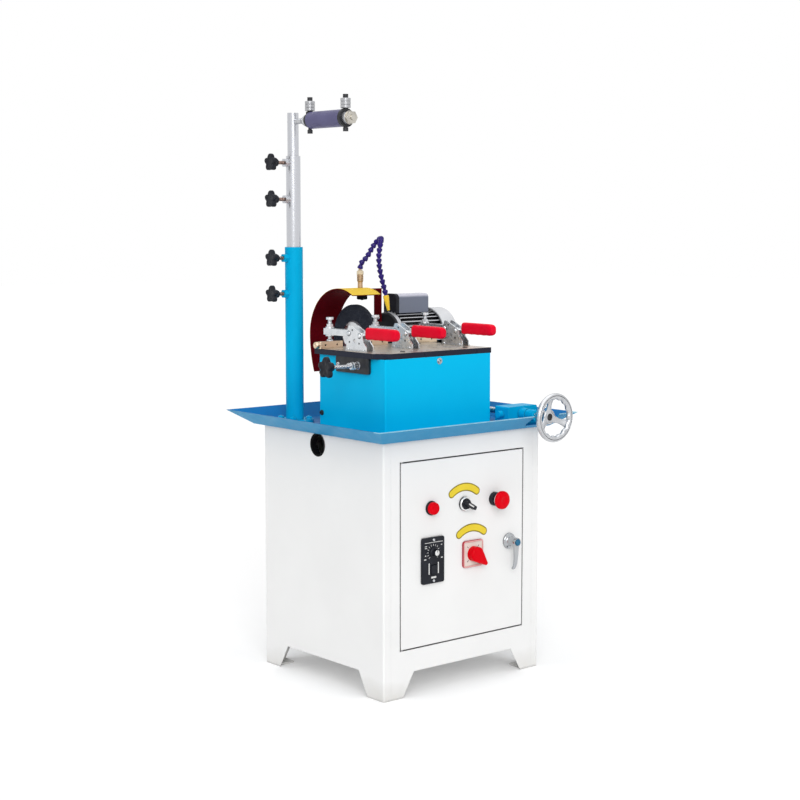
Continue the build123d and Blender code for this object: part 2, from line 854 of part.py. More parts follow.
slot_front_y = axis_y - wheel_d / 2 - infeed_forward - wheel_slot_room
with BuildPart() as work_table:
    with BuildSketch(Plane.XY.offset(box_top)):
        Polygon((table_x0 + table_corner, box_y0), (table_x1, box_y0), (table_x1, table_y1),
                (table_x0, table_y1), (table_x0, box_y0 + table_corner), align=None)
        with Locations((wheel_x, table_y1)):
            Rectangle(wheel_t + 2 * wheel_slot_room, 2 * (table_y1 - slot_front_y), mode=Mode.SUBTRACT)
    extrude(amount=table_t)
save(work_table.part, "work_table")

# Blade rests, one under each clamp's foot, rounded at one end and with two small holes in front
with BuildPart() as blade_rests:
    for clamp_x in clamp_xs:
        with BuildSketch(Plane.XY.offset(table_top)):
            with Locations((clamp_x, spindle_y)):
                SlotOverall(rest_len, rest_w)
            with Locations((clamp_x + rest_len / 4, spindle_y)):
                Rectangle(rest_len / 2, rest_w)
        extrude(amount=rest_h)
        for side in (-1, 1):
            hole_x = clamp_x + side * rest_len / 4
            hole = facing("back", hole_x, spindle_y - rest_w / 2, table_top + rest_h / 2)
            disc(hole, rest_hole_d, rest_w / 2, Mode.SUBTRACT)
save(blade_rests.part, "blade_rests")

# Toggle clamps: side plates with pins, a slotted arm with its spindle, and a handle with a dipped grip
clamp_base_y1 = clamp_base_y0 + clamp_base_len
arm_pivot_y = clamp_base_y1 - clamp_arm_edge
arm_pivot_z = table_top + clamp_arm_h
lever_pivot_y = clamp_base_y0 + clamp_lever_y
lever_pivot_z = table_top + clamp_lever_h
grip_y1 = clamp_base_y0 + grip_from_base
grip_z = table_top + grip_h_above_table
arm_w = clamp_inner_w - 2 * move_gap

with BuildPart() as clamp_bases:
    for clamp_x in clamp_xs:
        for side in (-1, 1):
            wall_x = clamp_x + side * (clamp_inner_w + clamp_plate_t) / 2 - clamp_plate_t / 2
            with BuildSketch(Plane.YZ.offset(wall_x)):
                Polygon((clamp_base_y0, table_top), (clamp_base_y1, table_top), (clamp_base_y1, arm_pivot_z),
                        (clamp_base_y1 - clamp_arm_edge / 2, arm_pivot_z + clamp_boss_r),
                        (arm_pivot_y, table_top + clamp_top_h),
                        (arm_pivot_y - clamp_boss_r, table_top + clamp_top_h),
                        (grip_y1 + 2 * clamp_grip_room, lever_pivot_z + 2 * clamp_grip_room),
                        (grip_y1 + clamp_grip_room, table_top + clamp_front_h),
                        (clamp_base_y0, table_top + clamp_front_h / 2), align=None)
                with Locations((lever_pivot_y + 2 * clamp_boss_r, table_top + clamp_front_h)):
                    Circle(clamp_hole_d / 2, mode=Mode.SUBTRACT)
            extrude(amount=clamp_plate_t)
            flange_w = (clamp_foot_w - clamp_inner_w) / 2
            flange_x = clamp_x + side * (clamp_inner_w + flange_w) / 2
            foot = facing("up", flange_x, clamp_base_y0 + clamp_base_len / 2, table_top)
            plate(foot, flange_w, clamp_base_len, clamp_plate_t)
        for pin_y, pin_z in ((arm_pivot_y, arm_pivot_z), (lever_pivot_y, lever_pivot_z)):
            disc(facing("right", clamp_x - clamp_foot_w / 2, pin_y, pin_z), clamp_pin_d, clamp_foot_w)
save(clamp_bases.part, "clamp_bases")


def clamp_arm(clamp_x):
    foot_low = table_top + rest_h + thread_gap
    arm_low = arm_pivot_z - clamp_arm_t / 2
    arm_high = arm_pivot_z + clamp_arm_t / 2
    spindle_top = table_top + spindle_top_h
    washer_low = arm_low - spindle_washer_t
    washer_high = arm_high + spindle_washer_t
    with BuildPart() as arm:
        with BuildSketch(Plane.YZ.offset(clamp_x - arm_w / 2)):
            with Locations((arm_pivot_y, arm_pivot_z)):
                Circle(clamp_arm_t / 2)
            with Locations((arm_pivot_y + clamp_arm_reach / 2, arm_pivot_z)):
                Rectangle(clamp_arm_reach, clamp_arm_t)
            with Locations((arm_pivot_y, arm_pivot_z)):
                Circle(clamp_pin_d / 2 + run_fit, mode=Mode.SUBTRACT)
        extrude(amount=arm_w)
        slot_len = clamp_arm_reach - clamp_arm_t - spindle_back
        slot_y = spindle_y + spindle_back / 2 - slot_len / 2
        plate(facing("up", clamp_x, slot_y, arm_low), clamp_slot_w, slot_len, clamp_arm_t, clamp_slot_w / 4,
              Mode.SUBTRACT)
        turned((clamp_x, spindle_y, 0), (0, 0, 1), (0, foot_low), (spindle_foot_d / 2, foot_low),
               (spindle_foot_d / 2, foot_low + spindle_foot_h / 2), (spindle_d / 2, foot_low + spindle_foot_h),
               (spindle_d / 2, washer_low), (spindle_washer_d / 2, washer_low), (spindle_washer_d / 2, arm_low),
               (spindle_d / 2, arm_low), (spindle_d / 2, arm_high), (spindle_washer_d / 2, arm_high),
               (spindle_washer_d / 2, washer_high), (spindle_d / 2, washer_high), (spindle_d / 2, spindle_top),
               (0, spindle_top))
        hexagon(facing("up", clamp_x, spindle_y, washer_high), spindle_nut_w, spindle_nut_t)
        disc(facing("down", clamp_x, spindle_y, spindle_top), spindle_head_d, spindle_head_t)
    return arm.part


def clamp_handle(clamp_x):
    tang_top = grip_z + grip_tang_h / 2
    tang_low = grip_z - grip_tang_h / 2
    with BuildPart() as handle:
        with BuildSketch(Plane.YZ.offset(clamp_x - arm_w / 2)):
            with Locations((lever_pivot_y, lever_pivot_z)):
                Circle(clamp_arm_t / 2)
        extrude(amount=arm_w)
        with BuildSketch(Plane.YZ.offset(clamp_x - grip_tang_t / 2)):
            tang_y = grip_y1 - grip_tang_len
            Polygon((lever_pivot_y, lever_pivot_z - clamp_arm_t / 2),
                    (lever_pivot_y, lever_pivot_z + clamp_arm_t / 2), (grip_y1, tang_top), (tang_y, tang_top),
                    (tang_y, tang_low), (grip_y1, tang_low), align=None)
        extrude(amount=grip_tang_t)
        with BuildSketch(Plane.YZ.offset(clamp_x - grip_w / 2)):
            with Locations((grip_y1 - grip_len / 2, grip_z)):
                RectangleRounded(grip_len, grip_h, grip_corner)
        extrude(amount=grip_w)
        fillet(handle.faces().filter_by(Axis.X).group_by(Axis.X)[0].edges(), grip_edge_r)
        fillet(handle.faces().filter_by(Axis.X).group_by(Axis.X)[-1].edges(), grip_edge_r)
        disc(facing("right", clamp_x - grip_w, lever_pivot_y, lever_pivot_z), clamp_pin_d + 2 * run_fit,
             2 * grip_w, Mode.SUBTRACT)
    return handle.part


for number, clamp_x in enumerate(clamp_xs, 1):
    save(clamp_arm(clamp_x), f"clamp_arm_{number}")
    save(clamp_handle(clamp_x), f"clamp_handle_{number}")


# Star knobs: a lobed head on a hub, with its screw
def star_knob(tip, reach, head_d, screw_d):
    # tip is the screw's free end and reach the distance from there to the head's outer face
    seat = facing("left", *tip)
    lobe_r = head_d * knob_lobe_share
    disc(seat, screw_d, reach - knob_t)
    disc(seat.offset(reach - knob_t - knob_hub_len), knob_hub_d, knob_hub_len)
    with BuildSketch(seat.offset(reach - knob_t)) as head:
        Circle(head_d / 2 - lobe_r)
        with PolarLocations(head_d / 2 - lobe_r, knob_lobes):
            Circle(lobe_r)
    extrude(head.sketch, amount=knob_t)


# Side adjuster: bracket plate on the head box, screw with lock nuts and star knob
adj_y = box_y0 + adj_from_front
adj_z = table_top - adj_below_table
adj_face_x = box_x0 - adj_plate_t
with BuildPart() as adjuster_bracket:
    plate(facing("left", box_x0, adj_y + adj_plate_shift, adj_z), adj_plate_len, adj_plate_h, adj_plate_t,
          adj_corner)
    disc(facing("left", box_x0, adj_y, adj_z), adj_screw_d + 2 * run_fit, adj_plate_t, Mode.SUBTRACT)
save(adjuster_bracket.part, "adjuster_bracket")

with BuildPart() as adjuster_knob:
    star_knob((box_x0 - thread_gap, adj_y, adj_z), adj_reach, adj_knob_d, adj_screw_d)
    nut_plane = facing("left", adj_face_x - thread_gap, adj_y, adj_z)
    hexagon(nut_plane, adj_nut_w, adj_nut_t)
    hexagon(nut_plane.offset(adj_nut_t + adj_nut_apart), adj_nut_w, adj_nut_t)
save(adjuster_knob.part, "adjuster_knob")


# Guide post: three round tubes, each held in the next by star knobs screwed through welded nuts
def post_tube(outer_d, bore_d, low, high, knob_drops=()):
    disc(facing("up", post_x, post_y, low), outer_d, high - low)
    for drop in knob_drops:
        hexagon(facing("left", post_x, post_y, high - drop), weld_nut_d, outer_d / 2 + weld_nut_len)
    disc(facing("up", post_x, post_y, low), bore_d, high - low, Mode.SUBTRACT)
    for drop in knob_drops:
        disc(facing("left", post_x, post_y, high - drop), knob_screw_d + 2 * run_fit, outer_d, Mode.SUBTRACT)


with BuildPart() as post_lower_tube:
    disc(facing("up", post_x, post_y, tray_top), post_flange_d, post_flange_t)
    post_tube(lower_d, lower_bore_d, tray_top, lower_top, lower_knob_drops)
save(post_lower_tube.part, "post_lower_tube")

with BuildPart() as post_middle_tube:
    post_tube(middle_d, middle_bore_d, middle_bottom, middle_top, middle_knob_drops)
save(post_middle_tube.part, "post_middle_tube")

with BuildPart() as post_upper_tube:
    post_tube(upper_d, upper_d - 2 * upper_wall, upper_bottom, upper_top)
    disc(facing("front", post_x, post_y + upper_d, axle_z), axle_d, 2 * upper_d, Mode.SUBTRACT)
save(post_upper_tube.part, "post_upper_tube")

knob_seats = [(middle_top - drop, upper_d) for drop in middle_knob_drops]
knob_seats += [(lower_top - drop, middle_d) for drop in lower_knob_drops]
for number, (knob_z, pressed_d) in enumerate(knob_seats, 1):
    from_axis = pressed_d / 2 + thread_gap
    with BuildPart() as post_knob:
        star_knob((post_x - from_axis, post_y, knob_z), knob_reach - from_axis, knob_d, knob_screw_d)
    save(post_knob.part, f"post_knob_{number}")

# Guide roller on its axle, with a collar and a stack of edge bearings at each end
ring_rear_y = roller_y1 + roller_gap + ring_t
ring_front_y = roller_y0 - roller_gap
axle_start_y = post_y + upper_d / 2 + axle_tail
nut_y = ring_front_y - ring_t - sleeve_len
with BuildPart() as roller_axle:
    cone_end = axle_start_y - ring_rear_y
    axle_len = axle_start_y - nut_y + end_nut_t + axle_tip
    sleeve_start = axle_start_y - nut_y - sleeve_len
    turned((post_x, axle_start_y, axle_z), (0, -1, 0), (0, 0), (axle_d / 2, 0),
           (axle_d / 2, cone_end - cone_len), (cone_d / 2, cone_end - cone_len / 3), (cone_d / 2, cone_end),
           (axle_d / 2, cone_end),
           (axle_d / 2, sleeve_start), (sleeve_d / 2, sleeve_start), (sleeve_d / 2, sleeve_start + sleeve_len),
           (axle_d / 2, sleeve_start + sleeve_len), (axle_d / 2, axle_len), (0, axle_len))
    hexagon(facing("front", post_x, nut_y, axle_z), end_nut_w, end_nut_t)
save(roller_axle.part, "roller_axle")

with BuildPart() as guide_roller:
    bore_r = axle_d / 2 + run_fit
    turned((post_x, roller_y1, axle_z), (0, -1, 0), (bore_r, 0), (roller_d / 2 - roller_edge, 0),
           (roller_d / 2, roller_edge), (roller_d / 2, roller_len - roller_edge),
           (roller_d / 2 - roller_edge, roller_len), (bore_r, roller_len))
save(guide_roller.part, "guide_roller")

ring_ys = (ring_rear_y - ring_t / 2, ring_front_y - ring_t / 2)
pad_z = axle_z + ring_flat_h
bearing_z0 = pad_z + bearing_washer_t
bearing_h = bearing_count * bearing_t
with BuildPart() as roller_collars:
    for ring_y, outer_d in zip(ring_ys, (ring_rear_d, ring_d)):
        disc(facing("front", post_x, ring_y + ring_t / 2, axle_z), outer_d, ring_t)
        plate(facing("up", post_x, ring_y, pad_z), outer_d, ring_t, outer_d, mode=Mode.SUBTRACT)
        plate(facing("down", post_x, ring_y, pad_z), 2 * ring_bolt_d, ring_t, ring_flat_h)
        disc(facing("front", post_x, ring_y + ring_t / 2, axle_z), axle_d, ring_t, Mode.SUBTRACT)
        disc(facing("up", post_x, ring_y, pad_z), bearing_washer_d, bearing_washer_t - thread_gap)
        disc(facing("up", post_x, ring_y, pad_z), ring_bolt_d, bearing_washer_t + bearing_h + thread_gap)
        bolt_head = facing("up", post_x, ring_y, bearing_z0 + bearing_h + thread_gap)
        disc(bolt_head, ring_bolt_head_d, ring_bolt_d)
        hexagon(bolt_head.offset(ring_bolt_d / 2), ring_bolt_socket_w, ring_bolt_d, Mode.SUBTRACT)
        root = axle_d / 2 + ring_bolt_root
        low = ring_flat_h + bearing_washer_t
        disc(facing("down", post_x, ring_y, axle_z - root), ring_bolt_d, low - root)
        disc(facing("down", post_x, ring_y, axle_z - low), ring_bolt_head_d, ring_bolt_d)
save(roller_collars.part, "roller_collars")

for place, ring_y in zip(("rear", "front"), ring_ys):
    bore_r = ring_bolt_d / 2 + run_fit
    rim = [(bore_r, 0)]
    for low in (number * bearing_t for number in range(bearing_count)):
        rim += [(bearing_d / 2 - bearing_groove, low), (bearing_d / 2, low + bearing_groove),
                (bearing_d / 2, low + bearing_t - bearing_groove)]
    rim += [(bearing_d / 2 - bearing_groove, bearing_h), (bore_r, bearing_h)]
    with BuildPart() as edge_bearings:
        turned((post_x, ring_y, bearing_z0), (0, 0, 1), *rim)
    save(edge_bearings.part, f"edge_bearings_{place}")

# Grinding motor: finned housing with front shield and feet, fan cover and capacitor box
foot_z = axis_z - foot_drop
with BuildPart() as motor_housing:
    disc(facing("right", motor_x0, axis_y, axis_z), shield_d, shield_t)
    chamfer(motor_housing.faces().sort_by(Axis.X)[0].edges(), shield_t / 4)
    fin_len = (motor_d - motor_core_d) / 2 + fin_root
    with BuildSketch(facing("right", motor_x0 + shield_t, axis_y, axis_z)):
        Circle(motor_core_d / 2)
        with PolarLocations(motor_d / 2 - fin_len / 2, fin_count):
            Rectangle(fin_len, fin_t)
        Circle(motor_d / 2, mode=Mode.INTERSECT)
    extrude(amount=motor_len)
    with BuildSketch(facing("right", motor_x0 + shield_t + foot_inset, axis_y, axis_z)):
        for side in (-1, 1):
            out = side * (foot_span + foot_w) / 2
            Polygon((out - side * foot_w, -foot_drop), (out, -foot_drop), (out, foot_t - foot_drop),
                    (side * foot_root_out, -foot_root_high), (side * foot_root_in, -foot_root_low), align=None)
    extrude(amount=motor_len - 2 * foot_inset)
    disc(facing("right", motor_x1, axis_y, axis_z), fan_d - 2 * fan_wall, fan_spigot)
    disc(facing("right", motor_x0, axis_y, axis_z), arbor_d + 2 * run_fit, arbor_in, Mode.SUBTRACT)
save(motor_housing.part, "motor_housing")

with BuildPart() as motor_fan_cover:
    disc(facing("right", motor_x1, axis_y, axis_z), fan_d, fan_len)
    fillet(motor_fan_cover.faces().sort_by(Axis.X)[-1].edges(), fan_len / 4)
    offset(amount=-fan_wall, openings=motor_fan_cover.faces().sort_by(Axis.X)[0])
    with BuildSketch(facing("right", motor_x1 + fan_len - 2 * fan_wall, axis_y, axis_z)):
        with PolarLocations(fan_slot_len, fan_slots):
            SlotOverall(fan_slot_len, fan_slot_w)
    extrude(amount=3 * fan_wall, mode=Mode.SUBTRACT)
save(motor_fan_cover.part, "motor_fan_cover")

with BuildPart() as capacitor_box:
    with BuildSketch(facing("right", motor_x0 + shield_t + cap_setback, axis_y, axis_z)):
        with Locations((0, motor_d / 2 + cap_h / 2)):
            RectangleRounded(cap_w, cap_h, cap_corner)
        with Locations((0, motor_d / 2)):
            Rectangle(cap_w, cap_h)
        Circle(motor_d / 2, mode=Mode.SUBTRACT)
    extrude(amount=cap_len)
save(capacitor_box.part, "capacitor_box")

# Rotor: arbor with its clamping flanges and nut, and the grinding wheel
with BuildPart() as arbor:
    arbor_end = motor_x0 + arbor_in - thread_gap
    nut_x = wheel_x - wheel_t / 2 - flange_t
    disc(facing("left", arbor_end, axis_y, axis_z), arbor_d, arbor_end - nut_x + arbor_nut_t)
    hexagon(facing("left", nut_x, axis_y, axis_z), arbor_nut_w, arbor_nut_t)
    for side in (-1, 1):
        turned((wheel_x + side * wheel_t / 2, axis_y, axis_z), (side, 0, 0), (0, 0), (flange_d / 2, 0),
               (flange_d / 2, flange_t / 2), (flange_face_d / 2, flange_t), (0, flange_t))
save(arbor.part, "arbor")

with BuildPart() as grinding_wheel:
    turned((wheel_x - wheel_t / 2, axis_y, axis_z), (1, 0, 0), (arbor_d / 2, 0), (wheel_d / 2 - wheel_edge, 0),
           (wheel_d / 2, wheel_edge), (wheel_d / 2, wheel_t - wheel_edge), (wheel_d / 2 - wheel_edge, wheel_t),
           (arbor_d / 2, wheel_t))
save(grinding_wheel.part, "grinding_wheel")

# Wheel guard: a curved strip over the top and down the back of the wheel, with the bracket to the motor
guard_z = axis_z + guard_up
guard_in = guard_r - guard_t
with BuildPart() as wheel_guard:
    with BuildSketch(facing("right", guard_x0, axis_y, guard_z)):
        with BuildLine():
            over = CenterArc((0, 0), guard_r, 0, 90 + guard_front_deg)
            under = CenterArc((0, 0), guard_in, 0, 90 + guard_front_deg)
            Line(over @ 1, under @ 1)
            skirt_z = guard_skirt_z - guard_z
            outside = TangentArc(over @ 0, (guard_r - guard_skirt_in, skirt_z), tangent=(0, -1))
            inside = TangentArc(under @ 0, (guard_in - guard_skirt_in, skirt_z), tangent=(0, -1))
            Line(outside @ 1, inside @ 1)
        make_face()
    extrude(amount=guard_w)
    tab_y = bracket_w / 2 + bracket_setback
    with BuildSketch(facing("right", guard_x0 + guard_w - bracket_lap, axis_y, guard_z)):
        Circle(guard_in)
        Circle(guard_in - bracket_t, mode=Mode.SUBTRACT)
        with Locations((tab_y, guard_r / 2)):
            Rectangle(bracket_w, guard_r, mode=Mode.INTERSECT)
    extrude(amount=motor_x0 - guard_x0 - guard_w + bracket_lap)
    with BuildSketch(facing("right", motor_x0 - bracket_t, axis_y, guard_z)):
        Circle(guard_in)
        with Locations((tab_y, bracket_low - guard_up + guard_r / 2)):
            Rectangle(bracket_w, guard_r, mode=Mode.INTERSECT)
    extrude(amount=bracket_t)
    disc(facing("up", nipple_x, axis_y, guard_z), nipple_thread_d, 2 * guard_r, Mode.SUBTRACT)
save(wheel_guard.part, "wheel_guard")

# Coolant line: nipple screwed through the guard, then a hose of ball-and-socket links and a nozzle
nipple_z = guard_z + guard_r
hose_start = Vector(nipple_x, axis_y, nipple_z + nipple_len + collar_len + hose_ball_r)
with BuildPart() as coolant_nipple:
    nut_top = guard_z + guard_in - nipple_nut_drop
    hexagon(facing("down", nipple_x, axis_y, nut_top), nipple_nut_w, nipple_nut_t)
    disc(facing("up", nipple_x, axis_y, nut_top), nipple_thread_d, nipple_z - nut_top)
    turned((nipple_x, axis_y, nipple_z), (0, 0, 1), (0, 0), (nipple_waist_d / 2, 0),
           (nipple_waist_d / 2, nipple_waist_len), (nipple_d / 2, nipple_len / 2), (nipple_d / 2, nipple_len),
           (collar_d / 2, nipple_len), (collar_d / 2, nipple_len + collar_len - collar_taper),
           (hose_neck_r, nipple_len + collar_len),
           (hose_neck_r, nipple_len + collar_len + hose_ball_r), (0, nipple_len + collar_len + hose_ball_r))
    with Locations(hose_start):
        Sphere(hose_ball_r)
save(coolant_nipple.part, "coolant_nipple")


def hose_link(start, end):
    # a link holds the ball before it in its socket and carries the next ball at its far end
    along = end - start
    socket_r = hose_ball_r + hose_gap
    bore_r = hose_bore_d / 2
    ball_deg = math.degrees(math.acos(bore_r / hose_ball_r))
    neck_deg = math.degrees(math.acos(hose_neck_r / hose_ball_r))
    socket_deg = math.degrees(math.acos(bore_r / socket_r))
    lip_deg = math.degrees(math.asin(hose_lip / socket_r))
    with BuildSketch(profile_plane(start, along)) as face:
        with BuildLine():
            ball = CenterArc((0, along.length), hose_ball_r, -neck_deg, neck_deg + ball_deg)
            socket = CenterArc((0, 0), socket_r, -lip_deg, lip_deg + socket_deg)
            Line(ball @ 1, socket @ 1)
            Polyline(socket @ 0, (hose_d / 2, -hose_lip), (hose_d / 2, hose_ball_r / 2), ball @ 0)
        make_face()
    revolve(face.sketch, axis=Axis(start, along))


with BuildLine():
    hose_points = [hose_start + Vector(*step) for step in hose_steps]
    hose_path = Spline(hose_start, *hose_points, tangents=[(0, 0, 1), (0, -0.25, -1)])
link_count = round(hose_path.length / hose_pitch)
hose_joints = [hose_path @ (number / link_count) for number in range(link_count + 1)]
with BuildPart() as coolant_hose:
    for start, end in zip(hose_joints, hose_joints[1:]):
        hose_link(start, end)
save(coolant_hose.part, "coolant_hose")

with BuildPart() as coolant_nozzle:
    socket_r = hose_ball_r + hose_gap
    tip_r = nozzle_tip_d / 2
    turned(hose_joints[-1], hose_joints[-1] - hose_joints[-2], (tip_r / 2, socket_r + nozzle_throat),
           (socket_r, socket_r), (socket_r, -hose_lip), (hose_d / 2, -hose_lip), (hose_d / 2, socket_r),
           (tip_r, nozzle_len), (tip_r / 2, nozzle_len))
save(coolant_nozzle.part, "coolant_nozzle")

# Infeed slide: dovetail rail on the tray, carriage with the saddle under the motor and its screw nut
rail_y0 = box_y1 + rail_back_gap
rail_y1 = tray_d / 2 - rail_back_gap / 2
neck_z = tray_top + rail_base_h
rail_top = neck_z + rail_h


def dovetail(room, mode=Mode.ADD):
    # the rail's head, wider at its top, with room added for the carriage's groove
    half = rail_w / 2 + room
    Polygon((rail_x - half + rail_undercut, neck_z - room), (rail_x + half - rail_undercut, neck_z - room),
            (rail_x + half, rail_top + room), (rail_x - half, rail_top + room), align=None, mode=mode)


with BuildPart() as slide_rail:
    with BuildSketch(facing("front", 0, rail_y1, 0)):
        dovetail(0)
        with Locations((rail_x, tray_top + rail_base_h / 2)):
            Rectangle(rail_w, rail_base_h)
    extrude(amount=rail_y1 - rail_y0)
save(slide_rail.part, "slide_rail")

with BuildPart() as infeed_carriage:
    block_z = neck_z + thread_gap
    block_top = block_z + carriage_h
    saddle_z = foot_z - saddle_t
    with BuildSketch(facing("front", 0, axis_y + carriage_len / 2, 0)):
        with Locations((rail_x, block_z + carriage_h / 2)):
            Rectangle(rail_w + 2 * carriage_side, carriage_h)
        dovetail(run_fit, Mode.SUBTRACT)
    extrude(amount=carriage_len)
    plate(facing("up", rail_x, axis_y, block_top), web_w, web_len, saddle_z - block_top)
    plate(facing("up", rail_x + saddle_shift, axis_y, saddle_z), saddle_w, saddle_len, saddle_t, box_corner)
    nut_x0 = rail_x + rail_w / 2 + move_gap
    nut_x1 = screw_x + nut_block_w / 2
    plate(facing("down", (nut_x0 + nut_x1) / 2, axis_y, block_top), nut_x1 - nut_x0, nut_block_len,
          block_top - screw_z + nut_block_w / 2)
    disc(facing("front", screw_x, axis_y + carriage_len / 2, screw_z), screw_d + 2 * run_fit, carriage_len,
         Mode.SUBTRACT)
save(infeed_carriage.part, "infeed_carriage")

# Lead screw in its bearing beam, and the dished handwheel on its front end
boss_face_y = beam_front_y - boss_len
hub_y = handwheel_y + hub_recess
with BuildPart() as screw_beam:
    beam_back_y = beam_front_y + beam_depth
    beam_back = facing("front", beam_x0 + beam_len / 2, beam_back_y, tray_top + beam_h / 2)
    plate(beam_back, beam_len, beam_h, beam_depth, beam_corner)
    disc(facing("front", screw_x, beam_front_y, screw_z), boss_d, boss_len)
    disc(facing("right", box_x1, beam_front_y + beam_depth / 2, screw_z), tie_d, beam_x0 - box_x1)
    disc(facing("front", screw_x, beam_back_y, screw_z), screw_d + 2 * run_fit, beam_depth + boss_len,
         Mode.SUBTRACT)
save(screw_beam.part, "screw_beam")

with BuildPart() as lead_screw:
    disc(facing("front", screw_x, screw_end_y, screw_z), screw_d, screw_end_y - hub_y)
    disc(facing("front", screw_x, boss_face_y - thread_gap, screw_z), screw_collar_d, screw_collar_t)
save(lead_screw.part, "lead_screw")

with BuildPart() as handwheel:
    with BuildSketch(Plane(origin=(screw_x, handwheel_y, screw_z), x_dir=(1, 0, 0), z_dir=(0, 0, 1))):
        with Locations((handwheel_d / 2 - handwheel_rim / 2, 0)):
            Circle(handwheel_rim / 2)
    revolve(axis=Axis((screw_x, handwheel_y, screw_z), (0, 1, 0)))
    disc(facing("back", screw_x, hub_y, screw_z), hub_d, hub_len)
    rim_r = (handwheel_d - handwheel_rim) / 2
    for number in range(spoke_count):
        turn = math.radians(spoke_rest_deg + number * 360 / spoke_count)
        spoke_plane = Plane(origin=(screw_x, handwheel_y, screw_z), x_dir=(math.cos(turn), 0, math.sin(turn)),
                            z_dir=(-math.sin(turn), 0, math.cos(turn)))
        with BuildSketch(spoke_plane.offset(-spoke_w / 2)):
            Polygon((hub_d / 4, hub_recess), (rim_r, -spoke_t / 2), (rim_r, spoke_t / 2),
                    (hub_d / 4, hub_recess + spoke_t), align=None)
        extrude(amount=spoke_w)
    disc(facing("back", screw_x, hub_y, screw_z), screw_d, hub_len, Mode.SUBTRACT)
save(handwheel.part, "handwheel")
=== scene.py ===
import math
from functools import partialmethod

import bmesh
import bpy
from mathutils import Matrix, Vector


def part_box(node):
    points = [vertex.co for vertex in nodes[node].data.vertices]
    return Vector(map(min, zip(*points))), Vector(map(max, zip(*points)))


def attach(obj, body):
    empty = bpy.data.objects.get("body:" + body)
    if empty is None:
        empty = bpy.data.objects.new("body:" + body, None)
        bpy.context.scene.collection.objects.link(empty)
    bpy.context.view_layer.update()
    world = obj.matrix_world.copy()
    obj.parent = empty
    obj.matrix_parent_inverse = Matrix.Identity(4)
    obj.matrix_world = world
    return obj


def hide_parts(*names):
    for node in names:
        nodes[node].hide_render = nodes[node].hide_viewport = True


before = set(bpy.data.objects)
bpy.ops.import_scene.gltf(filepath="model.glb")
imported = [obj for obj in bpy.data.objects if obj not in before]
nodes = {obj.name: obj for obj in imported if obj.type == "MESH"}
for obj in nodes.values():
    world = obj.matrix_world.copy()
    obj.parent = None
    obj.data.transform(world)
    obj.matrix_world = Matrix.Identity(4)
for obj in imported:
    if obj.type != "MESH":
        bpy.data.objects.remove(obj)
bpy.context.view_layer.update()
mm = 0.001
print("frame loaded,", len(nodes), "nodes")


class Val:
    # a node's socket that can stand in a sum
    def __init__(self, wiring, socket):
        self.wiring = wiring
        self.socket = socket

    def calc(self, operation, other):
        return self.wiring.node("ShaderNodeMath", {"operation": operation}, {0: self, 1: other})

    def turned(self, operation, other):
        return self.wiring.node("ShaderNodeMath", {"operation": operation}, {0: other, 1: self})

    __add__, __radd__ = partialmethod(calc, "ADD"), partialmethod(turned, "ADD")
    __sub__, __rsub__ = partialmethod(calc, "SUBTRACT"), partialmethod(turned, "SUBTRACT")
    __mul__, __rmul__ = partialmethod(calc, "MULTIPLY"), partialmethod(turned, "MULTIPLY")
    __truediv__, __rtruediv__ = partialmethod(calc, "DIVIDE"), partialmethod(turned, "DIVIDE")
    __pow__, __rpow__ = partialmethod(calc, "POWER"), partialmethod(turned, "POWER")
    __gt__, __lt__ = partialmethod(calc, "GREATER_THAN"), partialmethod(calc, "LESS_THAN")


class Wiring:
    # a node tree: node() takes a type, its settings and its inputs, and hands back one output
    def __init__(self, tree):
        self.tree = tree

    def node(self, kind, settings, inputs, output=0):
        made = self.tree.nodes.new(kind)
        for label, value in settings.items():
            setattr(made, label, value)
        for label, value in inputs.items():
            for single in value if isinstance(value, list) else [value]:
                if isinstance(single, Val):
                    self.tree.links.new(single.socket, made.inputs[label])
                else:
                    made.inputs[label].default_value = single
        return Val(self, made.outputs[output]) if len(made.outputs) else None


# what all finishes share: ranges of noise, of edge wear and of the creases where shade is painted, and the
# rays for edges and creases
shading = {"noise": (0.35, 0.65), "dullness": (0.3, 0.7), "wear": (0.01, 0.2), "gap": (0.15, 0.6), "rays": 4}
finishes = {}


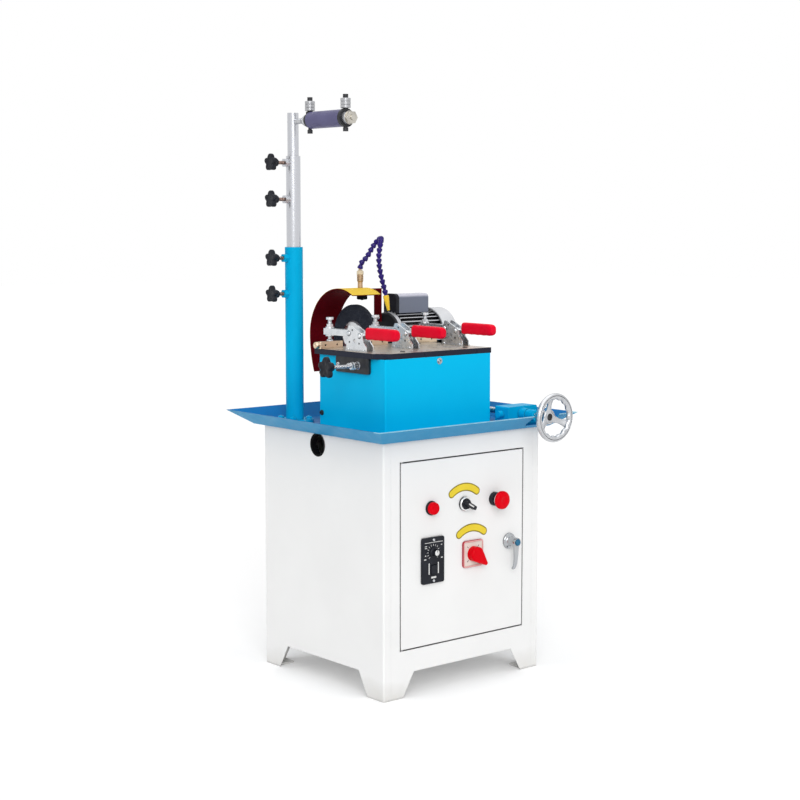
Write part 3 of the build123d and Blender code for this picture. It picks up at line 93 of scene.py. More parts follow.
class Finish(Wiring):
    # a material on Object coordinates; noises are given as (scale, detail)
    def __init__(self, name, **sockets):
        material = finishes[name] = bpy.data.materials.new(name)
        material.use_nodes = True
        super().__init__(material.node_tree)
        self.shader = self.tree.nodes["Principled BSDF"]
        for label, value in sockets.items():
            self.shader.inputs[label.replace("_", " ")].default_value = value
        self.place = self.node("ShaderNodeTexCoord", {}, {}, "Object")

    def feed(self, **sockets):
        for label, value in sockets.items():
            self.tree.links.new(value.socket, self.shader.inputs[label.replace("_", " ")])

    def cloud(self, noise, stretch=None):
        spot = self.place
        if stretch:
            spot = self.node("ShaderNodeMapping", {}, {"Vector": spot, "Scale": stretch})
        scale, detail = noise
        return self.node("ShaderNodeTexNoise", {}, {"Vector": spot, "Scale": scale, "Detail": detail}, "Fac")

    def ease(self, value, low, high, bottom=0.0, top=1.0):
        span = {"From Min": low, "From Max": high, "To Min": bottom, "To Max": top}
        return self.node("ShaderNodeMapRange", {}, {"Value": value, **span})

    def patches(self, noise, span=shading["noise"]):
        return self.ease(self.cloud(noise), *span)

    def dullness(self, noise, low, high, stretch=None):
        return self.ease(self.cloud(noise, stretch), *shading["dullness"], low, high)

    def mix(self, share, first, second):
        first, second = [tone if isinstance(tone, Val) else (*tone, 1.0) for tone in (first, second)]
        return self.node("ShaderNodeMix", {"data_type": "RGBA"}, {0: share, 6: first, 7: second}, 2)

    def part(self, vector, label):
        return self.node("ShaderNodeSeparateXYZ", {}, {"Vector": vector}, label)

    def axis(self, label):
        return self.part(self.place, label)

    def flat(self):
        # the shape's own normal, without bevel or bump
        return self.node("ShaderNodeNewGeometry", {}, {}, "Normal")

    def facing(self, label):
        return self.part(self.flat(), label)

    def rounded(self, radius):
        return self.node("ShaderNodeBevel", {"samples": shading["rays"]}, {"Radius": radius})

    def edge(self, soft):
        # bright where the rounded normal leaves the flat one, so along the edges only
        near = self.node("ShaderNodeVectorMath", {"operation": "DOT_PRODUCT"}, {0: soft, 1: self.flat()},
                         "Value")
        return self.ease(1 - near, *shading["wear"])

    def crease(self, reach, span=shading["gap"]):
        # 1 deep inside a gap or a corner, 0 on open faces; mixed into a colour, it paints shade there
        bare = self.node("ShaderNodeAmbientOcclusion", {"samples": shading["rays"]}, {"Distance": reach},
                         "AO")
        return self.ease(bare, *span, 1.0, 0.0)

    def relief(self, height, depth, strength, normal=None):
        inputs = {"Height": height, "Distance": depth, "Strength": strength}
        if normal:
            inputs["Normal"] = normal
        return self.node("ShaderNodeBump", {}, inputs)


# sprayed enamel: orange peel, faint clouding, scuffed edges and some dust near the floor, with painted shade
# darkening its gaps and corners; some paints also take painted shade in hollows, and painted shade or a
# painted highlight by which way a face turns
enamel = {
    "clouding": (5, 4), "rubbing": (60, 5), "rubbedRange": (0.48, 0.72), "rubbedShare": 0.5,
    "edgeRadius": 0.0014, "gloss": (35, 4), "glossier": 0.05, "duller": 0.09, "peel": (700, 2),
    "peelDepth": 0.0004, "peelStrength": 0.12, "dustNoise": (18, 4), "dustRagged": 0.05, "dustFrom": 0.02,
    "dustTo": 0.07, "dustShare": 0.5, "dust": (0.60, 0.58, 0.54), "underNoise": (30, 4), "topNoise": (40, 4),
    "ragged": 0.2, "underFacing": (0.05, -0.4), "topFacing": (0.3, 0.8), "hollowReach": 0.11,
    "hollowRange": (0.25, 0.95), "creaseReach": 0.012, "creaseShare": 0.85, "shadeAndGrime": (0.02, 0.02, 0.022),
}

# the tray's rim, lighter along its top at the front where hands and tools rub, which also paints a highlight
# there, and the coolant dried on its floor
trayLow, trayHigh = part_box("drip_tray")
trayRim = {"top": trayHigh[2], "lip": 0.0018, "front": trayLow[1] + 0.02, "lipNoise": (40, 4),
           "lipRange": (0.2, 0.5), "lipShare": (0.45, 0.9), "stainNoise": (9, 6), "stainRange": (0.48, 0.7),
           "stainShare": 0.45, "stain": (0.012, 0.07, 0.2)}


def makeEnamel(name, colour, tint, worn, gloss=0.34, dusty=False, sheen=0.12, under=None, hollow=None,
               top=None, rim=0.0, lip=None):
    f = Finish(name, Roughness=gloss, Specular_IOR_Level=sheen)
    soft = f.rounded(enamel["edgeRadius"])
    body = f.mix(f.patches(enamel["clouding"]), colour, tint)
    if dusty:
        height = f.axis("Z") + f.cloud(enamel["dustNoise"]) * enamel["dustRagged"]
        low = f.ease(height, enamel["dustFrom"], enamel["dustTo"], enamel["dustShare"], 0.0)
        body = f.mix(low, body, enamel["dust"])
    # painted light by facing: the under tone is painted shade on faces turned down, and the top tone is
    # painted shade inside the tray and a painted highlight on the capacitor's top
    for way, tone in (("under", under), ("top", top)):
        if tone:
            turned = f.facing("Z") + f.cloud(enamel[way + "Noise"]) * enamel["ragged"]
            body = f.mix(f.ease(turned, *enamel[way + "Facing"]), body, tone)
    # painted shade: the hollow tone darkens the colour deep in hollows and corners
    if hollow:
        deep = f.crease(enamel["hollowReach"], enamel["hollowRange"])
        body = f.mix(deep * enamel["creaseShare"], body, hollow)
    if lip:
        dried = f.patches(trayRim["stainNoise"], trayRim["stainRange"])
        dried = dried * f.ease(f.facing("Z"), *enamel["topFacing"])
        body = f.mix(dried * trayRim["stainShare"], body, trayRim["stain"])
        # the top of the rim at the front is lighter in patches: rubbed paint, and a painted highlight along
        # the rim
        handledAndHighlit = (f.axis("Z") > trayRim["top"] - trayRim["lip"]) * (f.axis("Y") < trayRim["front"])
        bare = f.ease(f.cloud(trayRim["lipNoise"]), *trayRim["lipRange"], *trayRim["lipShare"])
        body = f.mix(handledAndHighlit * bare, body, lip)
    # edges are rubbed lighter in patches; where rim is set, every edge is lighter too, which is a painted
    # highlight
    rubbedAndHighlit = f.edge(soft) * f.ease(f.cloud(enamel["rubbing"]), *enamel["rubbedRange"], rim)
    painted = f.mix(rubbedAndHighlit * (rim or enamel["rubbedShare"]), body, worn)
    # painted shade: the colour darkens in gaps and corners
    f.feed(Base_Color=f.mix(f.crease(enamel["creaseReach"]) * enamel["creaseShare"], painted,
                            enamel["shadeAndGrime"]),
           Roughness=f.dullness(enamel["gloss"], gloss - enamel["glossier"], gloss + enamel["duller"]),
           Normal=f.relief(f.cloud(enamel["peel"]), enamel["peelDepth"], enamel["peelStrength"], soft))


# machined and plated metal: turning lines, blotches and finger marks, with painted shade darkening its gaps
# and corners
metal = {"blotches": (45, 5), "blotchRange": (0.38, 0.68), "marks": (140, 4), "shinier": 0.06, "duller": 0.12,
         "lines": (900, 3), "lineDepth": 0.0002, "edgeRadius": 0.0006, "creaseReach": 0.009,
         "creaseShare": 0.8, "shadeAndGrime": (0.03, 0.03, 0.034)}


def makeMetal(name, colour, tint, rough, lines=None, lineStrength=0.03, metallic=1.0):
    f = Finish(name, Metallic=metallic, Roughness=rough)
    soft = f.rounded(metal["edgeRadius"])
    blotch = f.ease(f.cloud(metal["blotches"], lines), *metal["blotchRange"])
    body = f.mix(blotch, colour, tint)
    # painted shade: the colour darkens in gaps and corners
    f.feed(Base_Color=f.mix(f.crease(metal["creaseReach"]) * metal["creaseShare"], body, metal["shadeAndGrime"]),
           Roughness=f.dullness(metal["marks"], rough - metal["shinier"], rough + metal["duller"], lines),
           Normal=f.relief(f.cloud(metal["lines"], lines), metal["lineDepth"], lineStrength, soft))


# moulded plastic: fine spark texture, slight flow clouding, rounded edges
plastic = {"flow": (25, 4), "flowRange": (0.35, 0.68), "marks": (220, 3), "shinier": 0.06, "duller": 0.1,
           "grain": (1400, 2), "grainDepth": 0.0002, "edgeRadius": 0.0009, "sheen": 0.15}


def makePlastic(name, colour, tint, rough, grain=0.12, coat=0.0):
    f = Finish(name, Roughness=rough, Specular_IOR_Level=plastic["sheen"] + coat)
    soft = f.rounded(plastic["edgeRadius"])
    f.feed(Base_Color=f.mix(f.patches(plastic["flow"], plastic["flowRange"]), colour, tint),
           Roughness=f.dullness(plastic["marks"], rough - plastic["shinier"], rough + plastic["duller"]),
           Normal=f.relief(f.cloud(plastic["grain"]), plastic["grainDepth"], grain, soft))


# two tones, the colour under rubbed edges, and what differs from the plain enamel
blue = dict(worn=(0.2, 0.6, 0.8), gloss=0.36, sheen=0.05)
enamels = {
    "cabinetPaint": dict(colour=(0.89, 0.89, 0.885), tint=(0.86, 0.86, 0.855), worn=(0.5, 0.5, 0.5),
                         dusty=True),
    "bluePaint": dict(blue, colour=(0.0005, 0.57, 0.90), tint=(0.0005, 0.53, 0.87)),
    # postPaint is bluePaint's blue made darker, a shaded copy: painted shade on the post, the beam and the
    # collar
    "postPaint": dict(blue, colour=(0.0005, 0.42, 0.72), tint=(0.0005, 0.38, 0.68)),
    # the tray's under, hollow and top tones are painted shade; its rim and lip make the edges and the rim's
    # top lighter, partly as wear and partly as a painted highlight
    "trayPaint": dict(blue, colour=(0.001, 0.48, 0.84), tint=(0.001, 0.44, 0.79), worn=(0.3, 0.62, 0.8),
                      under=(0.04, 0.30, 0.55), hollow=(0.0, 0.10, 0.33), top=(0.0004, 0.17, 0.47), rim=0.75,
                      lip=(0.42, 0.78, 0.92)),
    "motorPaint": dict(colour=(0.085, 0.095, 0.115), tint=(0.07, 0.08, 0.1), worn=(0.32, 0.34, 0.37),
                       gloss=0.3),
    # the capacitor's top tone is a painted highlight on the faces that turn up
    "capacitorPaint": dict(colour=(0.19, 0.21, 0.27), tint=(0.17, 0.19, 0.245), worn=(0.36, 0.38, 0.42),
                           gloss=0.28, top=(0.56, 0.56, 0.64)),
}
# two tones, roughness, stretch of the turning lines, their strength and how metallic it is
metals = {
    "steel": ((0.66, 0.67, 0.69), (0.58, 0.59, 0.61), 0.24, (1, 0.05, 1)),
    "tubeSteel": ((0.58, 0.59, 0.625), (0.54, 0.55, 0.58), 0.24, (1, 1, 0.02), 0.006),
    "bearingSteel": ((0.46, 0.465, 0.48), (0.36, 0.365, 0.38), 0.26, (1, 1, 0.05), 0.02),
    "zinc": ((0.70, 0.72, 0.74), (0.58, 0.60, 0.63), 0.28),
    "chrome": ((0.47, 0.485, 0.50), (0.42, 0.435, 0.455), 0.16, None, 0.01),
    "bezelChrome": ((0.88, 0.89, 0.90), (0.82, 0.83, 0.85), 0.12, None, 0.01),
    "castAluminium": ((0.58, 0.59, 0.61), (0.50, 0.51, 0.53), 0.26),
    "brass": ((0.70, 0.56, 0.41), (0.56, 0.43, 0.29), 0.33, (0.1, 1, 1), 0.05),
    "bronze": ((0.52, 0.36, 0.22), (0.40, 0.27, 0.16), 0.36, (1, 1, 0.1), 0.2),
    "screwBrown": ((0.40, 0.29, 0.25), (0.28, 0.19, 0.16), 0.34, (0.1, 1, 1), 0.04),
    "blackSteel": ((0.022, 0.023, 0.026), (0.045, 0.046, 0.05), 0.4, None, 0.03, 0.55),
}
# two tones, roughness, strength of the grain and extra sheen
plastics = {
    "paleGrey": ((0.68, 0.69, 0.71), (0.63, 0.64, 0.66), 0.38),
    "blackPlastic": ((0.012, 0.013, 0.018), (0.018, 0.02, 0.027), 0.38),
    "redPlastic": ((0.74, 0.0005, 0.008), (0.68, 0.0004, 0.007), 0.3, 0.04, -0.1),
    "redVinyl": ((0.82, 0.002, 0.026), (0.74, 0.0015, 0.022), 0.36, 0.1, -0.06),
    "creamPlastic": ((0.80, 0.74, 0.68), (0.76, 0.70, 0.64), 0.4),
    "greyPlastic": ((0.45, 0.46, 0.48), (0.40, 0.41, 0.43), 0.45),
    "tealPlastic": ((0.01, 0.16, 0.30), (0.008, 0.13, 0.25), 0.3, 0.05, 0.2),
    "hosePlastic": ((0.022, 0.007, 0.17), (0.015, 0.005, 0.12), 0.26, 0.05, 0.05),
    "nozzlePlastic": ((0.84, 0.56, 0.03), (0.78, 0.50, 0.025), 0.32, 0.05, 0.1),
    "rollerPlastic": ((0.125, 0.12, 0.235), (0.105, 0.10, 0.20), 0.34, 0.06),
    "whitePrint": ((0.78, 0.78, 0.77), (0.72, 0.72, 0.71), 0.5),
    "creamBrass": ((0.72, 0.62, 0.45), (0.64, 0.54, 0.38), 0.35),
    "labelYellow": ((0.85, 0.66, 0.05), (0.80, 0.61, 0.04), 0.45),
    "labelBorder": ((0.30, 0.23, 0.02), (0.25, 0.19, 0.015), 0.5),
    "rubber": ((0.006, 0.006, 0.007), (0.011, 0.011, 0.012), 0.62, 0.3, -0.1),
    "blotter": ((0.17, 0.16, 0.17), (0.13, 0.125, 0.135), 0.8, 0.4),
}
for name, settings in enamels.items():
    makeEnamel(name, **settings)
for name, settings in metals.items():
    makeMetal(name, *settings)
for name, settings in plastics.items():
    makePlastic(name, *settings)

# the table's ground top is metallic, in tan and grey patches, with grinding lines; its sides are painted dark
tableTop = {"tanPatch": (0.57, 0.49, 0.39), "bare": (0.48, 0.45, 0.42), "side": (0.012, 0.015, 0.03),
            "line": (0.7, 0.64, 0.54), "lineNoise": (800, 3), "lineStretch": (0.02, 1, 1), "lineShare": 0.4,
            "lineDepth": 0.0002, "lineStrength": 0.2, "tanNoise": (22, 5), "marks": (60, 4),
            "rough": (0.24, 0.42), "metallic": 0.75, "edgeRadius": 0.0008, "topFacing": (0.5, 0.9),
            "tanRange": (0.4, 0.62), "lineRange": (0.3, 0.8)}


def makeTableIron():
    f = Finish("tableIron", Roughness=0.3, Specular_IOR_Level=0.15)
    soft = f.rounded(tableTop["edgeRadius"])
    top = f.ease(f.facing("Z"), *tableTop["topFacing"])
    ground = f.cloud(tableTop["lineNoise"], tableTop["lineStretch"])
    patched = f.mix(f.patches(tableTop["tanNoise"], tableTop["tanRange"]), tableTop["tanPatch"], tableTop["bare"])
    lines = f.ease(ground, *tableTop["lineRange"]) * tableTop["lineShare"]
    lined = f.mix(lines, patched, tableTop["line"])
    f.feed(Base_Color=f.mix(top, tableTop["side"], lined),
           Metallic=top * tableTop["metallic"],
           Roughness=f.dullness(tableTop["marks"], *tableTop["rough"]),
           Normal=f.relief(ground, tableTop["lineDepth"], tableTop["lineStrength"], soft))


# the guard is yellow outside and dark red inside, told apart by the distance from its own centre line
guardPaint = {"axis": (0.162, 0.740), "radius": 0.1076, "skirtReach": 0.2656, "skirtSkin": 0.0004,
              "bracketFrom": 0.0325, "yellow": ((0.88, 0.62, 0.085), (0.82, 0.56, 0.07)),
              "red": ((0.15, 0.004, 0.008), (0.11, 0.003, 0.006)), "clouding": (14, 4), "marks": (50, 4),
              "rough": (0.36, 0.5), "peelDepth": 0.0003, "edgeRadius": 0.0007}


def makeGuardPaint():
    f = Finish("guardPaint", Roughness=0.42, Specular_IOR_Level=0.006)
    soft = f.rounded(guardPaint["edgeRadius"])
    y, z = guardPaint["axis"]
    back, up = f.axis("Y") - y, f.axis("Z") - z
    reach = (back * back + up * up) ** 0.5
    bulge = back + (guardPaint["skirtReach"] - guardPaint["radius"] - guardPaint["skirtSkin"])
    skirt = (up < 0.0) * ((bulge * bulge + up * up) ** 0.5
                          > guardPaint["skirtReach"] - guardPaint["skirtSkin"])
    outside = (((reach > guardPaint["radius"]) * (up > 0.0) + skirt)
               * (f.axis("X") < guardPaint["bracketFrom"]))
    cloud = f.patches(guardPaint["clouding"])
    f.feed(Base_Color=f.mix(outside, f.mix(cloud, *guardPaint["red"]), f.mix(cloud, *guardPaint["yellow"])),
           Roughness=f.dullness(guardPaint["marks"], *guardPaint["rough"]),
           Normal=f.relief(f.cloud(enamel["peel"]), guardPaint["peelDepth"], enamel["peelStrength"], soft))


# bonded abrasive: coarse dark grains with a few bright ones
grit = {"scale": 900, "depth": 0.0008, "strength": 0.6, "rough": (0.7, 0.95), "clouding": (30, 4),
        "dark": ((0.010, 0.012, 0.02), (0.018, 0.021, 0.032)), "brightNoise": (1100, 1),
        "brightRange": (0.62, 0.7), "brightShare": 0.7, "bright": (0.22, 0.23, 0.26)}


def makeAbrasive():
    f = Finish("abrasive", Roughness=0.85, Specular_IOR_Level=0.2)
    grain = f.node("ShaderNodeTexVoronoi", {}, {"Vector": f.place, "Scale": grit["scale"]}, "Distance")
    bright = f.patches(grit["brightNoise"], grit["brightRange"])
    dark = f.mix(f.patches(grit["clouding"]), *grit["dark"])
    f.feed(Base_Color=f.mix(bright * grit["brightShare"], dark, grit["bright"]),
           Roughness=f.ease(grain, 0.0, 0.6, *grit["rough"]),
           Normal=f.relief(grain, grit["depth"], grit["strength"]))


# one turned piece in two platings: the axis it is parted along, the place, and the tones below and above
platings = {"rough": 0.3, "blotches": (60, 4), "blotchRange": (0.4, 0.66), "blotchShare": 0.25,
            "lineStrength": 0.03,
            "axleSteel": ("Y", -0.0345, (0.58, 0.555, 0.50), (0.60, 0.61, 0.63)),
            "nippleBronze": ("Z", 0.8465, (0.015, 0.015, 0.017), (0.56, 0.38, 0.23))}


def makeSplit(name):
    axis, place, below, above = platings[name]
    rough = platings["rough"]
    f = Finish(name, Metallic=1.0, Roughness=rough)
    soft = f.rounded(metal["edgeRadius"])
    split = f.mix(f.axis(axis) > place, below, above)
    blotch = f.patches(platings["blotches"], platings["blotchRange"])
    body = f.mix(blotch * platings["blotchShare"], split, metal["shadeAndGrime"])
    # painted shade: the colour darkens in gaps and corners, on top of the grime in the blotches above
    f.feed(Base_Color=f.mix(f.crease(metal["creaseReach"]) * metal["creaseShare"], body, metal["shadeAndGrime"]),
           Roughness=f.dullness(metal["marks"], rough - metal["shinier"], rough + metal["duller"]),
           Normal=f.relief(f.cloud(metal["lines"]), metal["lineDepth"], platings["lineStrength"], soft))


# the motor's fins are pale on top and black down in the grooves, where the black is painted shade; its end
# shield is bare
finTone = {"shieldEnd": 0.1045, "shield": (0.50, 0.51, 0.54), "fin": (0.56, 0.57, 0.60),
           "groove": (0.004, 0.004, 0.006), "face": (0.02, 0.021, 0.025), "faceTurn": -0.7,
           "grooveReach": 0.016, "grooveRange": (0.5, 0.9), "clouding": (40, 4), "marks": (80, 4),
           "rough": (0.28, 0.44)}


def makeFinned():
    f = Finish("motorFins", Metallic=0.35, Roughness=0.34, Specular_IOR_Level=0.3)
    soft = f.rounded(enamel["edgeRadius"])
    # painted shade: deep between the fins the colour turns black
    deep = f.crease(finTone["grooveReach"], finTone["grooveRange"])
    cast = f.mix(f.patches(finTone["clouding"]), finTone["fin"], finTone["shield"])
    shield = f.mix(f.facing("X") < finTone["faceTurn"], finTone["shield"], finTone["face"])
    f.feed(Base_Color=f.mix(f.axis("X") < finTone["shieldEnd"], f.mix(deep, cast, finTone["groove"]), shield),
           Roughness=f.dullness(finTone["marks"], *finTone["rough"]),
           Normal=f.relief(f.cloud(enamel["peel"]), enamel["peelDepth"], enamel["peelStrength"], soft))


# the cam switch's bezel is pale in front and deep red at its sides
camTone = {"front": (0.76, 0.40, 0.39), "side": (0.40, 0.006, 0.025), "noise": (90, 3), "ragged": 0.1,
           "turn": (-0.6, -0.85), "rough": (0.24, 0.38), "grain": 0.05}


def makeCamBezel():
    f = Finish("camBezel", Roughness=0.3, Specular_IOR_Level=0.1)
    soft = f.rounded(plastic["edgeRadius"])
    front = f.ease(f.facing("Y") + f.cloud(camTone["noise"]) * camTone["ragged"], *camTone["turn"])
    f.feed(Base_Color=f.mix(front, camTone["side"], camTone["front"]),
           Roughness=f.dullness(plastic["marks"], *camTone["rough"]),
           Normal=f.relief(f.cloud(plastic["grain"]), plastic["grainDepth"], camTone["grain"], soft))


makeCamBezel()
makeFinned()
makeSplit("axleSteel")
makeSplit("nippleBronze")
makeTableIron()
makeGuardPaint()
makeAbrasive()
print("finishes mixed")

# every solid and the finish it shows
solids = {
    "cabinetPaint": ("cabinet_left_panel", "cabinet_right_panel", "cabinet_back_panel", "cabinet_front_frame",
                     "cabinet_shelf", "cabinet_top", "door_panel"),
    "trayPaint": ("drip_tray",),
    "bluePaint": ("head_box",),
    "postPaint": ("post_lower_tube", "screw_beam"),
    "tubeSteel": ("post_middle_tube", "post_upper_tube"),
    "axleSteel": ("roller_axle",),
    "bearingSteel": ("edge_bearings_rear", "edge_bearings_front"),
    "steel": ("arbor", "lead_screw", "slide_rail"),
    "zinc": ("clamp_bases", "clamp_arm_1", "clamp_arm_2", "clamp_arm_3"),
    "tableIron": ("work_table",),
    "brass": ("blade_rests",),
    "blackPlastic": ("pilot_lamp", "speed_knob", "selector_knob", "selector_ring", "estop_collar",
                     "rocker_switch", "speed_panel", "adjuster_knob", "post_knob_1", "post_knob_2",
                     "post_knob_3", "post_knob_4"),
    "blackSteel": ("adjuster_bracket", "roller_collars"),
    "redPlastic": ("estop_button", "cam_switch_knob"),
    "redVinyl": ("clamp_handle_1", "clamp_handle_2", "clamp_handle_3"),
    "creamPlastic": ("cam_switch_plate",),
    "greyPlastic": ("coolant_tank",),
    "tealPlastic": ("lock_button",),
    "chrome": ("door_handle",),
    "motorFins": ("motor_housing",),
    "motorPaint": ("infeed_carriage", "coolant_pump"),
    "capacitorPaint": ("capacitor_box",),
    "paleGrey": ("motor_fan_cover",),
    "castAluminium": ("handwheel",),
    "guardPaint": ("wheel_guard",),
    "abrasive": ("grinding_wheel",),
    "hosePlastic": ("coolant_hose",),
    "nozzlePlastic": ("coolant_nozzle",),
    "rollerPlastic": ("guide_roller",),
    "nippleBronze": ("coolant_nipple",),
}
for finish, names in solids.items():
    for name in names:
        for slot in nodes[name].material_slots:
            slot.material = finishes[finish]
print("solids painted")

toLeft, toRight, toFront, toBack = (-1, 0, 0), (1, 0, 0), (0, -1, 0), (0, 1, 0)
upward, downward = (0, 0, 1), (0, 0, -1)


def basis(along):
    along = Vector(along).normalized()
    start = Vector(upward) if abs(along.z) < 0.7 else Vector(toRight)
    across = (start - along * start.dot(along)).normalized()
    return across, along.cross(across), along


# welding distance, smallest radius and, in degrees, the edges that are bevelled or shown sharp
modelling = {"weld": 1e-4, "point": 1e-6, "bevelFrom": 30, "sharp": 38, "grownSharp": 35}


class Shape:
    # a mesh in millimetres, grown from turned, drawn and lofted forms
    def __init__(self):
        self.bm = bmesh.new()

    def skin(self, rings, tone=0, capped=True):
        loops = [[self.bm.verts.new(point) for point in ring] for ring in rings]
        faces = []
        for near, far in zip(loops, loops[1:]):
            for i in range(max(len(near), len(far))):
                corners = [near[i % len(near)], near[(i + 1) % len(near)],
                           far[(i + 1) % len(far)], far[i % len(far)]]
                corners = list(dict.fromkeys(corners))
                if len(corners) > 2:
                    faces.append(self.bm.faces.new(corners))
        if capped and len(loops[0]) > 2:
            faces.append(self.bm.faces.new(list(reversed(loops[0]))))
        if capped and len(loops[-1]) > 2:
            faces.append(self.bm.faces.new(loops[-1]))
        for face in faces:
            face.material_index = tone
            face.smooth = True

    def turn(self, origin, along, profile, tone=0, steps=40, wave=None):
        # profile holds (radius, distance along the axis); wave changes the radius with the angle
        across, up, along = basis(along)
        rings = []
        for radius, reach in profile:
            middle = Vector(origin) + along * reach
            if radius < modelling["point"]:
                rings.append([middle])
                continue
            ring = []
            for step in range(steps):
                angle = math.tau * step / steps
                out = radius * (wave(angle) if wave else 1)
                ring.append(middle + (across * math.cos(angle) + up * math.sin(angle)) * out)
            rings.append(ring)
        self.skin(rings, tone, profile[0] != profile[-1])

    def slab(self, outline, low, high, lay, tone=0):
        # an outline of flat points, laid out by lay(u, v, w) and given a thickness from low to high
        self.skin([[lay(u, v, w) for u, v in outline] for w in (low, high)], tone)

    def soften(self, width, steps):
        least = math.radians(modelling["bevelFrom"])
        sharp = [edge for edge in self.bm.edges if edge.is_manifold and edge.calc_face_angle(0.0) > least]
        bmesh.ops.bevel(self.bm, geom=sharp, offset=width, segments=steps, profile=0.5, affect="EDGES",
                        clamp_overlap=True, material=-1)
        for face in self.bm.faces:
            face.smooth = True

    def mesh(self, name, sharpAngle):
        bmesh.ops.remove_doubles(self.bm, verts=self.bm.verts, dist=modelling["weld"])
        bmesh.ops.recalc_face_normals(self.bm, faces=self.bm.faces)
        bmesh.ops.scale(self.bm, vec=(mm, mm, mm), verts=self.bm.verts)
        made = bpy.data.meshes.new(name)
        self.bm.to_mesh(made)
        self.bm.free()
        made.set_sharp_from_angle(angle=math.radians(sharpAngle))
        return made


def setPiece(name, mesh, body, slot, *stands):
    piece = bpy.data.objects.new(name, mesh)
    bpy.context.scene.collection.objects.link(piece)
    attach(piece, body)
    if stands:
        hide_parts(*stands)


def addPiece(name, shape, body, tones, slot, *stands, sharp=modelling["sharp"]):
    # tones are the finishes of the shape's parts; stands are the solids that the piece replaces
    mesh = shape.mesh(name, sharp)
    for tone in tones:
        mesh.materials.append(finishes[tone])
    setPiece(name, mesh, body, slot, *stands)


def growPiece(tree, name, tone, body, slot, spots, **sizes):
    setPiece(name, tree.grow(name, tone, spots, **sizes), body, slot)


def sleeve(inner, outer, long, near, far):
    # closed section of a tube with bevelled ends
    outside = [(outer - near, 0), (outer, near), (outer, long - far), (outer - far, long)]
    return [(inner, 0), *outside, (inner, long), (inner, 0)]


def softOval(points, wide, tall, power):
    # flat points round an oval whose corners fill out as the power falls
    oval = []
    for step in range(points):
        angle = math.tau * step / points
        c, s = math.cos(angle), math.sin(angle)
        oval.append((math.copysign(abs(c) ** power, c) * wide, math.copysign(abs(s) ** power, s) * tall))
    return oval


def circle(radius, *degrees):
    turns = [math.radians(angle) for angle in degrees]
    return [(radius * math.cos(turn), radius * math.sin(turn)) for turn in turns]


def arc(x, y, radius, first, sweep, steps):
    # flat points along an arc, with angles in degrees
    degrees = [first + sweep * step / steps for step in range(steps + 1)]
    return [(x + u, y + v) for u, v in circle(radius, *degrees)]


class Tree(Wiring):
    # a geometry node tree with named inputs, in millimetres unless they are plain
    def __init__(self, name, plain=(), **sizes):
        super().__init__(bpy.data.node_groups.new(name, "GeometryNodeTree"))
        self.plain = plain
        face = self.tree.interface
        face.new_socket("Geometry", in_out="OUTPUT", socket_type="NodeSocketGeometry")
        face.new_socket("Geometry", in_out="INPUT", socket_type="NodeSocketGeometry")
        self.keys = {}
        for label, value in sizes.items():
            kind = "NodeSocketInt" if isinstance(value, int) else "NodeSocketFloat"
            made = face.new_socket(label, in_out="INPUT", socket_type=kind)
            made.default_value = self.length(label, value)
            self.keys[label] = made.identifier
        made = face.new_socket("finish", in_out="INPUT", socket_type="NodeSocketMaterial")
        self.keys["finish"] = made.identifier

    def length(self, label, value):
        return value if label in self.plain else value * mm

    def size(self, label):
        return self.node("NodeGroupInput", {}, {}, label)

    def vector(self, x, y, z):
        return self.node("ShaderNodeCombineXYZ", {}, {"X": x, "Y": y, "Z": z})

    def rod(self, sides, radius, depth):
        return self.node("GeometryNodeMeshCylinder", {},
                         {"Vertices": sides, "Radius": radius, "Depth": depth})

    def cone(self, sides, bottom, top, depth):
        form = {"Radius Bottom": bottom, "Radius Top": top, "Depth": depth}
        return self.node("GeometryNodeMeshCone", {}, {"Vertices": sides, **form})

    def lift(self, shape, height):
        move = self.vector(0.0, 0.0, height)
        return self.node("GeometryNodeTransform", {}, {"Geometry": shape, "Translation": move})

    def copies(self, points, shape, turn):
        held = {"Points": points, "Instance": shape, "Rotation": turn}
        return self.node("GeometryNodeInstanceOnPoints", {}, held)

    def join(self, *shapes):
        return self.node("GeometryNodeJoinGeometry", {}, {"Geometry": list(shapes)})

    def end(self, shape):
        # the shape on every spot, turned to face the way the spot says, as real faces in one finish
        facing = self.node("GeometryNodeInputNamedAttribute", {"data_type": "FLOAT_VECTOR"},
                           {"Name": "facing"})
        aimed = self.node("FunctionNodeAlignRotationToVector", {"axis": "Z"}, {"Vector": facing})
        points = self.node("GeometryNodeMeshToPoints", {}, {"Mesh": self.size("Geometry")})
        whole = self.node("GeometryNodeRealizeInstances", {}, {"Geometry": self.copies(points, shape, aimed)})
        painted = self.node("GeometryNodeSetMaterial", {},
                            {"Geometry": whole, "Material": self.size("finish")})
        self.node("NodeGroupOutput", {}, {0: painted})
        return self

    def grow(self, name, tone, spots, **sizes):
        # spots are (place, facing); the result is a plain mesh
        seed = bpy.data.meshes.new(name)
        seed.from_pydata([Vector(place) * mm for place, facing in spots], [], [])
        facings = seed.attributes.new("facing", "FLOAT_VECTOR", "POINT")
        for i, (place, facing) in enumerate(spots):
            facings.data[i].vector = Vector(facing).normalized()
        holder = bpy.data.objects.new(name, seed)
        bpy.context.scene.collection.objects.link(holder)
        modifier = holder.modifiers.new(name, "NODES")
        modifier.node_group = self.tree
        for label, value in sizes.items():
            modifier[self.keys[label]] = self.length(label, value)
        modifier[self.keys["finish"]] = finishes[tone]
        graph = bpy.context.evaluated_depsgraph_get()
        made = bpy.data.meshes.new_from_object(holder.evaluated_get(graph), depsgraph=graph)
        holder.modifiers.remove(modifier)
        bpy.data.objects.remove(holder)
        bpy.data.meshes.remove(seed)
        made.name = name
        made.set_sharp_from_angle(angle=math.radians(modelling["grownSharp"]))
        return made


